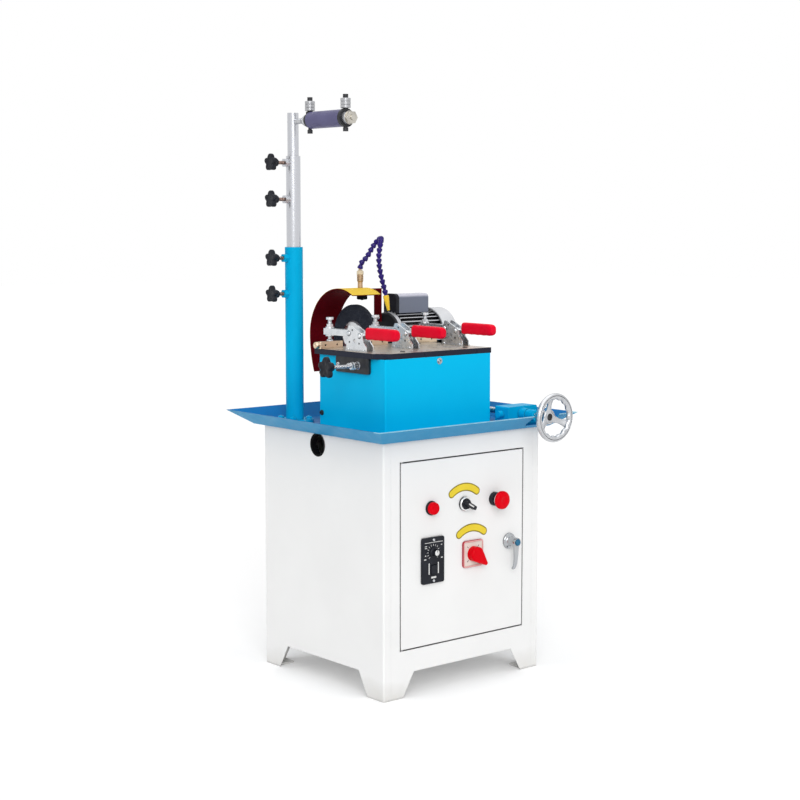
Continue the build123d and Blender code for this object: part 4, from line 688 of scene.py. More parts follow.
# shares of a screw's own sizes, heights in millimetres, and sides round
capScrew = {"headTop": 0.93, "socketAt": 0.9, "washerTop": 0.94, "washerTall": 1.2, "sides": 28}
hexHead = {"crown": (0.86, 0.7), "crownTall": 0.6, "washerTall": 1.6, "sides": 28, "crownSides": 24,
           "stubSides": 16}


def socketScrewTree():
    # cap screw: washer, chamfered round head and a hexagon socket
    t = Tree("socketScrew", radius=5.0, height=5.0, washer=6.5, socket=2.6)
    radius, height, washer = t.size("radius"), t.size("height"), t.size("washer")
    head = t.cone(capScrew["sides"], radius, radius * capScrew["headTop"], height)
    cutter = t.lift(t.rod(6, t.size("socket"), height), height * capScrew["socketAt"])
    bored = t.node("GeometryNodeMeshBoolean", {"operation": "DIFFERENCE"},
                   {"Mesh 1": head, "Mesh 2": [cutter]})
    disc = t.cone(capScrew["sides"], washer, washer * capScrew["washerTop"], capScrew["washerTall"] * mm)
    return t.end(t.join(bored, disc))


def hexBoltTree():
    # hexagon head with a chamfered crown on a washer, and the bolt's end above it
    t = Tree("hexBolt", radius=7.0, height=5.0, washer=8.0, stub=0.0, stubRadius=3.0)
    radius, height = t.size("radius"), t.size("height")
    head = t.lift(t.rod(6, radius, height), height * 0.5)
    foot, top = [radius * share for share in hexHead["crown"]]
    crown = t.lift(t.cone(hexHead["crownSides"], foot, top, hexHead["crownTall"] * mm), height)
    disc = t.rod(hexHead["sides"], t.size("washer"), hexHead["washerTall"] * mm)
    tail = t.lift(t.rod(hexHead["stubSides"], t.size("stubRadius"), t.size("stub")), height)
    return t.end(t.join(head, crown, disc, tail))


def rivetTree():
    # domed rivet head: a ball flattened along its own axis, sunk half into the sheet
    t = Tree("domedRivet", radius=5.0, height=3.0)
    ball = t.node("GeometryNodeMeshUVSphere", {}, {"Segments": 20, "Rings": 12, "Radius": 1.0})
    form = t.vector(t.size("radius"), t.size("radius"), t.size("height"))
    return t.end(t.node("GeometryNodeTransform", {}, {"Geometry": ball, "Scale": form}))


def threadTree():
    # a ridge wound round a rod: spiral swept by a small square
    t = Tree("screwThread", radius=4.0, pitch=1.25, length=20.0, depth=0.6)
    wound = t.node("GeometryNodeCurveSpiral", {}, {
        "Resolution": 18, "Rotations": t.size("length") / t.size("pitch"), "Start Radius": t.size("radius"),
        "End Radius": t.size("radius"), "Height": t.size("length")})
    ridge = t.node("GeometryNodeCurvePrimitiveCircle", {}, {"Resolution": 4, "Radius": t.size("depth")})
    swept = {"Curve": wound, "Profile Curve": ridge, "Fill Caps": True}
    return t.end(t.node("GeometryNodeCurveToMesh", {}, swept))


def ribRingTree():
    # short ribs set round a ring, for knurls, ticks and grip ridges
    t = Tree("ribRing", ("count", "start", "sweep"), count=24, radius=10.0, wide=1.0, tall=4.0, deep=1.0,
             start=0.0, sweep=math.tau)
    loop = t.node("GeometryNodeCurveArc", {"mode": "RADIUS"}, {
        "Resolution": t.size("count"), "Radius": t.size("radius"), "Start Angle": t.size("start"),
        "Sweep Angle": t.size("sweep")})
    rib = t.node("GeometryNodeMeshCube", {},
                 {"Size": t.vector(t.size("deep"), t.size("wide"), t.size("tall"))})
    place = t.node("GeometryNodeInputPosition", {}, {})
    points = t.node("GeometryNodeCurveToPoints", {"mode": "EVALUATED"}, {"Curve": loop})
    outward = t.node("FunctionNodeAlignRotationToVector", {"axis": "X"}, {"Vector": place})
    return t.end(t.copies(points, rib, outward))


socketScrew = socketScrewTree()
hexBolt = hexBoltTree()
rivet = rivetTree()
thread = threadTree()
ribRing = ribRingTree()

# the toggle clamps' handles: a steel tang from the pivot and a dipped, finger-waved grip
clampHandle = {
    "middles": (-151, -22, 125), "pivot": (-53, 756), "bore": 3.1, "boss": 7, "bossWide": 15,
    "bossBevel": 0.8, "tangWide": 6, "tangHalf": 6.4, "tangEndHalf": 7.5, "tangBack": 1, "tangEnd": (2, -6),
    "gripFrom": -71, "gripTo": -168, "gripMiddle": 762, "gripHalf": (9.5, 13), "gripPoints": 36,
    "square": 3.6, "rings": 22, "fingers": 4, "fingerDepth": 0.7, "fingerFrom": 8, "fingerLong": 80,
    "straightFrom": 2.0, "straightLess": 17, "tipBelow": 0.7, "tipWide": 0.35,
    # shares of the full section: from the open end inwards, and by what is left to the round end
    "mouth": [(0.0, 0.86), (0.6, 0.95), (2.0, 1.0)],
    "tip": [(11.5, 0.985), (8, 0.95), (5, 0.89), (2.6, 0.8), (0.8, 0.66), (0, 0.48)],
}
for number, middle in enumerate(clampHandle["middles"], 1):
    made = Shape()
    start, gripMiddle = clampHandle["gripFrom"], clampHandle["gripMiddle"]
    wide, tall = clampHandle["gripHalf"]
    long, count = start - clampHandle["gripTo"], clampHandle["rings"]
    straight = long - clampHandle["straightLess"]
    swell = clampHandle["mouth"] + [(clampHandle["straightFrom"] + straight * step / count, 1.0)
                                    for step in range(1, count + 1)]
    swell += [(long - left, share) for left, share in clampHandle["tip"]]
    rings = []
    for reach, share in swell:
        along = min(max((reach - clampHandle["fingerFrom"]) / clampHandle["fingerLong"], 0), 1)
        lift = clampHandle["fingerDepth"] * (1 - math.cos(math.tau * clampHandle["fingers"] * along)) / 2
        least = clampHandle["tipWide"]
        narrow = least + (1 - least) * share if share < clampHandle["tipBelow"] else share
        oval = softOval(clampHandle["gripPoints"], wide * narrow, tall * share, 2 / clampHandle["square"])
        rings.append([(middle + u, start - reach, gripMiddle + v + (lift if v < 0 else 0)) for u, v in oval])
    made.skin(rings)
    y, z = clampHandle["pivot"]
    back, near, far = y + clampHandle["tangBack"], clampHandle["tangHalf"], clampHandle["tangEndHalf"]
    mouth, inside = [start + reach for reach in clampHandle["tangEnd"]]
    tang = [(back, z - near), (back, z + near), (mouth, gripMiddle + far), (inside, gripMiddle + far),
            (inside, gripMiddle - far), (mouth, gripMiddle - far)]
    half = clampHandle["tangWide"] / 2
    made.slab(tang, -half, half, lambda u, v, w: (middle + w, u, v), 1)
    bevel = clampHandle["bossBevel"]
    made.turn((middle - clampHandle["bossWide"] / 2, y, z), toRight,
              sleeve(clampHandle["bore"], clampHandle["boss"], clampHandle["bossWide"], bevel, bevel), 1, 32)
    addPiece(f"clampHandle_{number}", made, f"clamp_{number}_handle", ("redVinyl", "zinc"), "red_plastic",
             f"clamp_handle_{number}")
print("clamp handles dipped")

# star knobs on the post and on the side adjuster
starKnob = {"lobes": 5, "waist": 0.68, "lobePower": 0.75, "thick": 11, "hubLong": 11, "screw": 3.4,
            "screwEnd": 2.9, "screwBevel": 0.8, "screwSunk": 1, "threadRadius": 3.5, "pitch": 1.5,
            "flat": 0.55,
            # the head's round edges: inset from its radius, depth from the rear and from the outer face
            "rear": ((2.2, 0.0), (0.9, 0.5), (0.2, 1.5), (0, 2.8)),
            "front": ((0, 3.2), (0.3, 1.7), (1.2, 0.6), (2.6, 0.05)), "dish": 0.62, "dishDeep": 0.7,
            "hub": [(0, 0), (6.9, 0), (8.0, 0.6), (8.4, 2), (9.1, 11), (0, 11.4)]}


def lobed(angle):
    crest = (0.5 + 0.5 * math.cos(starKnob["lobes"] * angle)) ** starKnob["lobePower"]
    return starKnob["waist"] + (1 - starKnob["waist"]) * crest


def knobShape(tip, face, radius):
    # tip is the screw's free end, face the x of the head's outer face
    made = Shape()
    x, y, z = tip
    full, flat = starKnob["thick"], radius * starKnob["flat"]
    back, floor = face + full, full - starKnob["dishDeep"]
    head = [(0, 0), (flat, 0)] + [(radius - inset, depth) for inset, depth in starKnob["rear"]]
    head += [(radius - inset, full - depth) for inset, depth in starKnob["front"]]
    head += [(radius * starKnob["dish"], full), (flat, floor), (0, floor)]
    made.turn((back, y, z), toLeft, head, 0, 100, lobed)
    made.turn((back + starKnob["hubLong"], y, z), toLeft, starKnob["hub"], 0, 36)
    screw, long = starKnob["screw"], x - back - starKnob["screwSunk"]
    made.turn(tip, toLeft, [(0, 0), (starKnob["screwEnd"], 0), (screw, starKnob["screwBevel"]), (screw, long),
                            (0, long)], 1, 20)
    return made


postKnobs = {"axis": (-170, 168), "face": -236, "radius": 19.4, "gap": 0.3, "bare": 23, "threadDepth": 0.55,
             "seats": ((1128, 12.5), (1048, 12.5), (919.0, 16), (840.0, 16))}
for number, (height, pressed) in enumerate(postKnobs["seats"], 1):
    x, y = postKnobs["axis"][0] - pressed - postKnobs["gap"], postKnobs["axis"][1]
    addPiece(f"starKnob_{number}", knobShape((x, y, height), postKnobs["face"], postKnobs["radius"]),
             f"post_screw_{number}", ("blackPlastic", "screwBrown"), "black_plastic", f"post_knob_{number}")
    growPiece(thread, f"knobThread_{number}", "screwBrown", f"post_screw_{number}", "steel",
              [((x - 1, y, height), toLeft)], radius=starKnob["threadRadius"], pitch=starKnob["pitch"],
              length=x - postKnobs["face"] - postKnobs["bare"], depth=postKnobs["threadDepth"])

adjuster = {"tip": (-166.3, -61, 694), "face": -262.3, "radius": 23.6, "threadFrom": -167, "threadLong": 72,
            "threadDepth": 0.5, "nuts": (-172.3, -185.3),
            "nut": dict(radius=8.0, height=6.6, washer=8.6, stub=0.001)}
y, z = adjuster["tip"][1:]
addPiece("adjusterStar", knobShape(adjuster["tip"], adjuster["face"], adjuster["radius"]), "adjuster",
         ("blackPlastic", "steel"), "black_plastic", "adjuster_knob")
growPiece(thread, "adjusterThread", "steel", "adjuster", "steel", [((adjuster["threadFrom"], y, z), toLeft)],
          radius=starKnob["threadRadius"], pitch=starKnob["pitch"], length=adjuster["threadLong"],
          depth=adjuster["threadDepth"])
growPiece(hexBolt, "adjusterNuts", "zinc", "adjuster", "steel",
          [((x, y, z), toLeft) for x in adjuster["nuts"]], **adjuster["nut"])
print("star knobs turned")

# the handwheel: rim with a turned groove and finger waves inside, dished spokes and a stepped hub; a black
# ring in the groove's bottom is painted shade
wheel = {
    "centre": (192, -290, 575), "rimRadius": 47.5, "rimSteps": 180, "waves": 15, "waveDepth": 2.2,
    "hubFrom": 13.4, "shaftFrom": 12.6, "spokes": 3, "firstSpoke": 98, "spokeFrom": 8, "spokeLong": 41.5,
    "spokeRings": 10, "spokePoints": 18, "spokePower": 0.7, "spokeThick": 4.2,
    # the spokes' half width, its shares at the root and lost at the waist, and their depth along the dish
    "spokeWide": 8.5, "spokeRoot": 1.3, "spokeWaist": 0.6, "waistAt": 1.05, "rootDepth": 18, "tipDepth": 1,
    "dish": 1.4,
    # the rim's section: out from its middle line, back from it, share of the wave
    "rim": [(6.5, 0, 0), (6.2, -2.3, 0), (5.2, -4.5, 0), (3.7, -5.9, 0), (2.0, -6.4, 0), (1.5, -6.2, 0),
            (1.3, -5.2, 0), (0.4, -5.2, 0), (0.2, -6.1, 0), (-1.4, -6.2, 0), (-3.4, -5.4, 0.2),
            (-5.2, -3.8, 0.8), (-6.3, -1.7, 1), (-6.5, 0.6, 1), (-5.8, 3.0, 1), (-4.0, 5.2, 0.6),
            (-1.2, 6.3, 0), (2.0, 6.2, 0), (4.4, 4.7, 0), (5.9, 2.6, 0)],
    "groove": [(47.8, 4.6), (48.9, 4.6), (48.9, 5.5), (47.8, 5.5), (47.8, 4.6)],
    "hub": [(7.2, 1.2), (8.0, 0), (10.3, 0), (10.7, 1.1), (11.5, 1.1), (11.9, 0.2), (15.2, 0.4), (16.3, 1.3),
            (16.6, 3.4), (14.2, 5.6), (14, 15), (12.5, 17), (12, 26.4), (7.2, 26.4), (7.2, 1.2)],
    "shaftEnd": [(0, 0.7), (2.2, 0.7), (2.6, 0), (5.6, 0), (6.6, 0.9), (6.9, 2.6), (0, 2.6)],
}
made = Shape()
cx, cy, cz = wheel["centre"]
rings = []
for step in range(wheel["rimSteps"]):
    turn = math.tau * step / wheel["rimSteps"]
    swell = wheel["waveDepth"] * (0.5 + 0.5 * math.cos(wheel["waves"] * turn))
    ring = []
    for out, back, share in wheel["rim"]:
        reach = wheel["rimRadius"] + out - swell * share
        ring.append((cx + reach * math.cos(turn), cy + back, cz + reach * math.sin(turn)))
    rings.append(ring)
made.skin(rings + rings[:1], 0, False)
# painted shade: a black ring fills the bottom of the groove
made.turn(wheel["centre"], toFront, wheel["groove"], 1, 120)
for number in range(wheel["spokes"]):
    turn = math.radians(wheel["firstSpoke"] + 360 * number / wheel["spokes"])
    out = Vector((math.cos(turn), 0, math.sin(turn)))
    side = Vector((-math.sin(turn), 0, math.cos(turn)))
    rings = []
    for step in range(wheel["spokeRings"] + 1):
        share = step / wheel["spokeRings"]
        reach = wheel["spokeFrom"] + wheel["spokeLong"] * share
        dish = wheel["rootDepth"] - (wheel["rootDepth"] - wheel["tipDepth"]) * share ** wheel["dish"]
        pinch = wheel["spokeWaist"] * math.sin(math.pi * min(share * wheel["waistAt"], 1))
        wide = wheel["spokeWide"] * (wheel["spokeRoot"] - pinch)
        oval = softOval(wheel["spokePoints"], wide, wheel["spokeThick"], wheel["spokePower"])
        rings.append([Vector((cx, cy + dish + rise, cz)) + out * reach + side * lean for lean, rise in oval])
    made.skin(rings)
made.turn((cx, cy + wheel["hubFrom"], cz), toBack, wheel["hub"], 0, 56)
addPiece("handwheelCast", made, "infeed_screw", ("castAluminium", "blackSteel"), "aluminium", "handwheel",
         sharp=50)
made = Shape()
made.turn((cx, cy + wheel["shaftFrom"], cz), toBack, wheel["shaftEnd"], 0, 36)
addPiece("shaftEnd", made, "infeed_screw", ("blackSteel",), "steel")
print("handwheel cast")

# lead screw: smooth journal in front, cut thread behind the beam, and a painted collar
leadScrew = {"x": 192, "z": 575, "back": 222, "front": -273.4, "threadFrom": 216, "threadLong": 330,
             "pitch": 5, "threadDepth": 0.95, "core": 6.1, "radius": 6.98, "collarFrom": -209.3,
             "collar": (6.5, 12, 26, 0.7, 1.2), "tail": 5, "tailBevel": 1.2, "step": 1}
made = Shape()
x, z, core, radius = [leadScrew[key] for key in ("x", "z", "core", "radius")]
stop = leadScrew["back"] - leadScrew["threadFrom"] + leadScrew["threadLong"]
long = leadScrew["back"] - leadScrew["front"]
made.turn((x, leadScrew["back"], z), toFront,
          [(0, 0), (leadScrew["tail"], 0), (core, leadScrew["tailBevel"]), (core, stop),
           (radius, stop + leadScrew["step"]), (radius, long), (0, long)], 0, 36)
made.turn((x, leadScrew["collarFrom"], z), toFront, sleeve(*leadScrew["collar"]), 1, 36)
addPiece("leadScrewTurned", made, "infeed_screw", ("steel", "postPaint"), "steel", "lead_screw")
growPiece(thread, "leadThread", "steel", "infeed_screw", "steel",
          [((x, leadScrew["threadFrom"], z), toFront)], radius=radius - leadScrew["threadDepth"],
          pitch=leadScrew["pitch"], length=leadScrew["threadLong"], depth=leadScrew["threadDepth"])

# the door's face, and its controls' places on it as (x, z)
door = {"face": -210.5, "lamp": (-95, 398), "selector": (0, 397), "stop": (88, 398), "cam": (24, 285),
        "speed": (-92, 286), "dial": (-93, 304), "handle": (133, 299)}


def onDoor(x, z, out=0.0):
    return (x, door["face"] - out, z)


def turnedOnDoor(spot, out, *profiles):
    # each profile is (steps, tone, points)
    made = Shape()
    for steps, tone, profile in profiles:
        made.turn(onDoor(*door[spot], out), toFront, profile, tone, steps)
    return made


def ribsOnDoor(name, tone, body, slot, spot, out, **sizes):
    growPiece(ribRing, name, tone, body, slot, [(onDoor(*door[spot], out), toFront)], **sizes)


def frontSlab(made, x, z, wide, tall, low, high, turn=0.0, tone=0):
    c, s = math.cos(turn), math.sin(turn)
    corners = [(-wide / 2, -tall / 2), (wide / 2, -tall / 2), (wide / 2, tall / 2), (-wide / 2, tall / 2)]
    made.slab([(x + u * c - v * s, z + u * s + v * c) for u, v in corners], low, high, onDoor, tone)


# pilot lamp: fluted bezel and a lens with moulded rings
lampLens = {"rim": [(12.2, 4.4), (13.3, 5), (13.3, 11.2), (12.9, 12.8), (12.0, 14.0)], "rings": 5,
            "firstRing": 11.0, "ringStep": 2.1, "ring": ((0, 14.35), (0.9, 14.75), (1.5, 14.35)),
            "middle": (0, 14.5), "fluteOut": 2.4,
            "flutes": dict(count=49, radius=14.6, wide=0.9, tall=4.2, deep=1.0)}
lens = list(lampLens["rim"])
for ring in range(lampLens["rings"]):
    at = lampLens["firstRing"] - lampLens["ringStep"] * ring
    lens += [(at - inward, height) for inward, height in lampLens["ring"]]
addPiece("lampLens", turnedOnDoor("lamp", 0, (56, 0, lens + [lampLens["middle"]])), "door", ("redPlastic",),
         "red_plastic", sharp=50)
ribsOnDoor("lampFlutes", "blackPlastic", "door", "black_plastic", "lamp", lampLens["fluteOut"],
           **lampLens["flutes"])

# selector: bright bezel round the knob, white line on its lever
selectorTrim = {"lever": -30, "markMiddle": 4.75, "markLong": 16.5, "markWide": 3.0, "markOut": (19.0, 19.55),
                "markBevel": 0.15,
                "bezel": [(11.25, 4.0), (15.1, 4.0), (15.35, 4.8), (14.9, 6.3), (13.9, 7.2), (12.3, 7.2),
                          (11.5, 6.5), (11.25, 4.0)]}
made = turnedOnDoor("selector", 0, (56, 0, selectorTrim["bezel"]))
addPiece("selectorRingBright", made, "door", ("bezelChrome",), "steel")
made = Shape()
x, z = door["selector"]
(across, up), = circle(selectorTrim["markMiddle"], selectorTrim["lever"])
frontSlab(made, x + across, z + up, selectorTrim["markLong"], selectorTrim["markWide"],
          *selectorTrim["markOut"], math.radians(selectorTrim["lever"]))
made.soften(selectorTrim["markBevel"], 1)
addPiece("selectorMark", made, "selector", ("whitePrint",), "grey_plastic")

# emergency stop: stem, bright skirt and a shallow mushroom with a bare dished face
stopCap = {"stem": [(0, -9.7), (7, -9.7), (7, 17), (0, 17)],
           "skirt": [(0, 16.4), (14.8, 16.4), (15.6, 17.2), (15.6, 21.8), (17.4, 23.0), (0, 23.0)],
           "cap": [(14, 22.7), (18.6, 22.3), (19.7, 22.9), (20.1, 24.2), (20.1, 27.0), (19.5, 29.4),
                   (17.8, 31.4), (15, 32.6), (11, 33.1), (8.6, 33.3), (8.0, 32.9), (0, 32.8)]}
made = turnedOnDoor("stop", 0, (32, 1, stopCap["stem"]), (56, 1, stopCap["skirt"]), (72, 0, stopCap["cap"]))
addPiece("stopCap", made, "estop", ("redPlastic", "bezelChrome"), "red_plastic", "estop_button", sharp=45)

# cam switch: red bezel round the pale field, and tick marks
camTrim = {"half": 29.1, "band": 3.4, "tall": 4.5, "corner": 6, "innerCorner": 3, "bevel": 0.7, "draw": 0.985,
           "field": 2.9, "cornerSteps": 6, "tickOut": 3.05,
           "ticks": dict(count=4, radius=21.5, wide=1.3, tall=0.25, deep=5, start=math.radians(45),
                         sweep=math.radians(270))}


def roundedSquare(half, corner):
    points = []
    for right, up, first in ((1, 1, 0), (-1, 1, 90), (-1, -1, 180), (1, -1, 270)):
        points += arc((half - corner) * right, (half - corner) * up, corner, first, 90,
                      camTrim["cornerSteps"])
    return points


x, z = door["cam"]
tall, draw = camTrim["tall"], camTrim["draw"]
outer = roundedSquare(camTrim["half"], camTrim["corner"])
inner = roundedSquare(camTrim["half"] - camTrim["band"], camTrim["innerCorner"])
drawn = [(u * draw, v * draw) for u, v in outer]
levels = [(outer, 0.0), (outer, tall - camTrim["bevel"]), (drawn, tall), (inner, tall),
          (inner, camTrim["field"])]
made = Shape()
made.skin([[onDoor(x + u, z + v, w) for u, v in outline] for outline, w in levels], 0, False)
addPiece("camFrame", made, "door", ("camBezel",), "red_plastic")
ribsOnDoor("camTicks", "blackPlastic", "door", "black_plastic", "cam", camTrim["tickOut"], **camTrim["ticks"])

# speed panel: printed line, bars and marks, dial ticks, the dial's white cap and knurl, and two screws
speedTrim = {
    "face": 6.0, "print": (-0.2, 0.25), "screws": 44, "knurlOut": 14.3,
    # the marks from the panel's middle: across, up, wide, tall
    "marks": ((0, 39, 50, 1.2), (-13, -17, 2.6, 24), (13, -17, 2.6, 24), (0, -36.5, 14, 4), (-22, 32, 6, 1.6),
              (-22, 28, 6, 1.6), (22, 32, 4, 1.6), (-23, 12, 3, 2.4), (-24, 4, 6, 2.2), (23, 4, 5, 2.2)),
    "cap": [(5.9, 11.6), (5.9, 12.5), (5.3, 12.95), (0, 13.0)], "capOut": 6.3,
    "pointer": (0, 3.4, 1.1, 4.6), "pointerOut": (19.1, 19.45),
    "ticks": dict(count=13, radius=15.6, wide=1.1, tall=0.5, deep=4.2, start=math.radians(-45),
                  sweep=math.radians(270)),
    "knurl": dict(count=31, radius=7.5, wide=0.8, tall=6.8, deep=0.8),
    "screw": dict(radius=2.4, height=1.8, washer=2.9, socket=1.2),
}
made = Shape()
x, z = door["speed"]
face = speedTrim["face"]
for across, up, wide, tall in speedTrim["marks"]:
    frontSlab(made, x + across, z + up, wide, tall, *[face + proud for proud in speedTrim["print"]])
addPiece("speedPrint", made, "door", ("whitePrint",), "grey_plastic")
ribsOnDoor("dialTicks", "whitePrint", "door", "grey_plastic", "dial", face, **speedTrim["ticks"])
made = turnedOnDoor("dial", speedTrim["capOut"], (40, 0, speedTrim["cap"]))
across, up, wide, tall = speedTrim["pointer"]
frontSlab(made, door["dial"][0] + across, door["dial"][1] + up, wide, tall, *speedTrim["pointerOut"], 0.0, 1)
addPiece("dialCap", made, "speed_dial", ("whitePrint", "blackPlastic"), "grey_plastic")
ribsOnDoor("dialKnurl", "blackPlastic", "speed_dial", "black_plastic", "dial", speedTrim["knurlOut"],
           **speedTrim["knurl"])
growPiece(socketScrew, "speedScrews", "zinc", "door", "steel",
          [(onDoor(x, z + side * speedTrim["screws"], face), toFront) for side in (-1, 1)],
          **speedTrim["screw"])

# door handle: turned rosette and neck bored for the lock, a lever curled to the door, stem and latch behind
handle = {
    "stem": [(0, -0.3), (5, -0.3), (5, 16.5), (0, 16.5)],
    "latch": (-19.5, -16.5), "latchReach": 44, "latchHalf": 9, "latchSteps": 12,
    "neck": [(0, 0.3), (17.2, 0.3), (17.5, 0.8), (17.5, 3.4), (16.9, 4.5), (15.6, 5.2), (12.4, 6.0),
             (11.2, 7.4), (10.4, 10), (10, 14), (10, 28.2), (9.2, 29.3), (7.7, 29.3), (7.3, 28.8),
             (7.3, 21.3), (0, 21.3)],
    # the lever's sections: drop, height over the door, half width, half thickness
    "lever": [(-2, 23.8, 8.6, 5.3), (8, 23.8, 7.4, 5.3), (16, 23.8, 6.0, 5.1), (26, 23.6, 5.2, 4.7),
              (38, 23.0, 4.7, 4.2), (48, 21.6, 4.4, 3.8), (54, 19.7, 4.2, 3.5), (58, 17.2, 4.0, 3.2),
              (60, 14.6, 3.6, 2.8), (60.6, 12.9, 2.5, 1.9)],
    "leverPoints": 28, "leverPower": 0.75,
}
x, z = door["handle"]
made = turnedOnDoor("handle", 0, (56, 0, handle["neck"]))
rings = []
lever = handle["lever"]
for at, (drop, out, wide, thick) in enumerate(lever):
    near, far = lever[max(at - 1, 0)], lever[min(at + 1, len(lever) - 1)]
    run = Vector((far[0] - near[0], far[1] - near[1])).normalized()
    rings.append([onDoor(x + across, z - drop + over * run[1], out + over * run[0])
                  for across, over in softOval(handle["leverPoints"], wide, thick, handle["leverPower"])])
made.skin(rings)
made.turn(onDoor(x, z), toBack, handle["stem"], 0, 24)
half, steps = handle["latchHalf"], handle["latchSteps"]
outline = arc(x, z + handle["latchReach"], half, 0, 180, steps) + arc(x, z, half, 180, 180, steps)
made.slab(outline, *handle["latch"], onDoor)
addPiece("handleCast", made, "handle", ("chrome",), "zinc", "door_handle", sharp=45)

# bare yellow arches over the selector and the cam switch, with round ends and a dark border
archPlate = {"tops": ((0, 433), (22, 342)), "radius": 61, "half": 8.9, "spread": 36.6, "border": 2.4,
             "borderOut": (-0.1, 0.42), "fieldOut": (0.1, 0.7), "steps": 28, "endSteps": 10}


def archOutline(x, z, half):
    # the band's outer edge, its right end, its inner edge and its left end
    radius, spread = archPlate["radius"], archPlate["spread"]
    low = z - radius
    outline = []
    for side in (1, -1):
        outline += arc(x, low, radius + side * half, 90 + side * spread, -2 * side * spread,
                       archPlate["steps"])
        end = 90 - side * spread
        (across, up), = circle(radius, end)
        first = end if side > 0 else end + 180
        outline += arc(x + across, low + up, half, first, -180, archPlate["endSteps"])[1:-1]
    return outline


made = Shape()
for x, z in archPlate["tops"]:
    made.slab(archOutline(x, z, archPlate["half"]), *archPlate["borderOut"], onDoor, 1)
    made.slab(archOutline(x, z, archPlate["half"] - archPlate["border"]), *archPlate["fieldOut"], onDoor)
addPiece("archPlates", made, "door", ("labelYellow", "labelBorder"), "guard_yellow")
print("door controls dressed")

# rubber grommet in the cable hole
grommet = {"place": (-225, 12, 521),
           "section": [(21.5, -13), (24.6, -13), (24.6, -0.2), (25.6, 0.0), (25.8, 0.7), (25.2, 1.4),
                       (23.4, 1.4), (21.5, 0.4), (21.5, -13)]}
made = Shape()
made.turn(grommet["place"], toLeft, grommet["section"], 0, 48)
addPiece("cableGrommet", made, "machine", ("rubber",), "black_plastic", sharp=50)


def onClamps(out, *places):
    # on both cheeks of every clamp, at the given (y, z)
    return [((x + side * out, y, z), (side, 0, 0)) for x in clampHandle["middles"] for side in (-1, 1)
            for y, z in places]


# bolts and rivets: tree, finish, body, slot, sizes and the spots with the way they face
pivots = ((-17, 760), (-53, 756))
boltSpots = {
    "boxBolts": (socketScrew, "chrome", "machine", "steel",
                 dict(radius=5.2, height=4, washer=7.4, socket=3.2), [((-15, -146, 701), toFront)]),
    "boxSideBolts": (socketScrew, "blackSteel", "machine", "black_steel",
                     dict(radius=4.6, height=4, washer=6.2, socket=2.6),
                     [((-166, 73, z), toLeft) for z in (670, 581)]),
    "bracketScrews": (socketScrew, "zinc", "machine", "steel",
                      dict(radius=3.4, height=3, washer=4.2, socket=1.7),
                      [((-172, y, 694), toLeft) for y in (-30, 6)]),
    "flangeBolts": (hexBolt, "postPaint", "machine", "blue_paint",
                    dict(radius=7.4, height=5.3, washer=8.8, stub=4),
                    [((-170 + u, 168 + v, 559.2), upward) for u, v in circle(31.5, 45, 135, 225, 315)]),
    "tableScrews": (socketScrew, "blackSteel", "machine", "black_steel",
                    dict(radius=5, height=1.4, washer=5.6, socket=2.6),
                    [((x, y, 723), upward) for x, y in ((-95, -118), (85, -118), (-95, 40), (85, 40))]),
    "clampFeet": (socketScrew, "zinc", "machine", "zinc",
                  dict(radius=2.3, height=2.6, washer=2.5, socket=1.2),
                  [((x + side * 10.6, y, 725.8), upward) for x in clampHandle["middles"] for side in (-1, 1)
                   for y in (-68, -16)]),
    "clampRivets": (rivet, "zinc", "machine", "zinc", dict(radius=5, height=3), onClamps(10.4, *pivots)),
    # painted shadow: black discs just under the rivets, showing as a dark ring round each
    "clampSeats": (rivet, "blackSteel", "machine", "zinc", dict(radius=6.1, height=0.35),
                   onClamps(10.5, *pivots)),
    # painted shade: black dots that stand in for the dark insides of holes
    "clampHoles": (rivet, "blackSteel", "machine", "zinc", dict(radius=2.3, height=0.3),
                   onClamps(10.5, (-19, 742), (-29, 768), (-52, 740))),
    "motorBolts": (hexBolt, "zinc", "grinding_head", "steel",
                   dict(radius=5, height=3.6, washer=5.6, stub=1.5),
                   [((87.3, 162 + u, 735 + v), toLeft) for u, v in circle(45, 20, 160, 215, 325)]),
    "bracketBolts": (hexBolt, "zinc", "grinding_head", "steel",
                     dict(radius=4, height=3, washer=4.6, stub=1.5),
                     [((83.4, y, z), toLeft) for y, z in ((180.5, 776), (191, 773))]),
    "guardRivets": (rivet, "nozzlePlastic", "grinding_head", "guard_yellow", dict(radius=3.6, height=1.8),
                    [((26, 162 + u, 740 + v), (0, u, v)) for u, v in circle(107.6, 99, 109)]),
    "nippleLockNut": (hexBolt, "rubber", "coolant_line", "bronze",
                      dict(radius=13, height=16, washer=11, stub=4), [((17, 159, 837.6), downward)]),
    "footBolts": (hexBolt, "zinc", "grinding_head", "steel", dict(radius=6, height=4.4, washer=7.2, stub=3),
                  [((x, y, 680.4), upward) for x in (124, 190) for y in (108, 216)]),
    "backScrews": (socketScrew, "zinc", "machine", "steel",
                   dict(radius=3.6, height=2.4, washer=4.6, socket=1.8),
                   [((x, 210.5, z), toBack) for x in (-194, 194) for z in (90, 235, 380, 525)]),
}
for name, (tree, tone, body, slot, sizes, spots) in boltSpots.items():
    growPiece(tree, name, tone, body, slot, spots, **sizes)
print("bolts set")

# turned studs in the rests' left ends
restStud = {"left": 29, "y": 63, "z": 730.9,
            "section": [(0, 0), (5, 0), (5, 4.2), (6.8, 4.2), (7.4, 4.9), (7.4, 10.8), (6.4, 12), (2.4, 12),
                        (1.6, 11), (0, 11)]}
made = Shape()
for middle in clampHandle["middles"]:
    made.turn((middle - restStud["left"], restStud["y"], restStud["z"]), toLeft, restStud["section"])
addPiece("restStuds", made, "machine", ("brass",), "rest_brass")

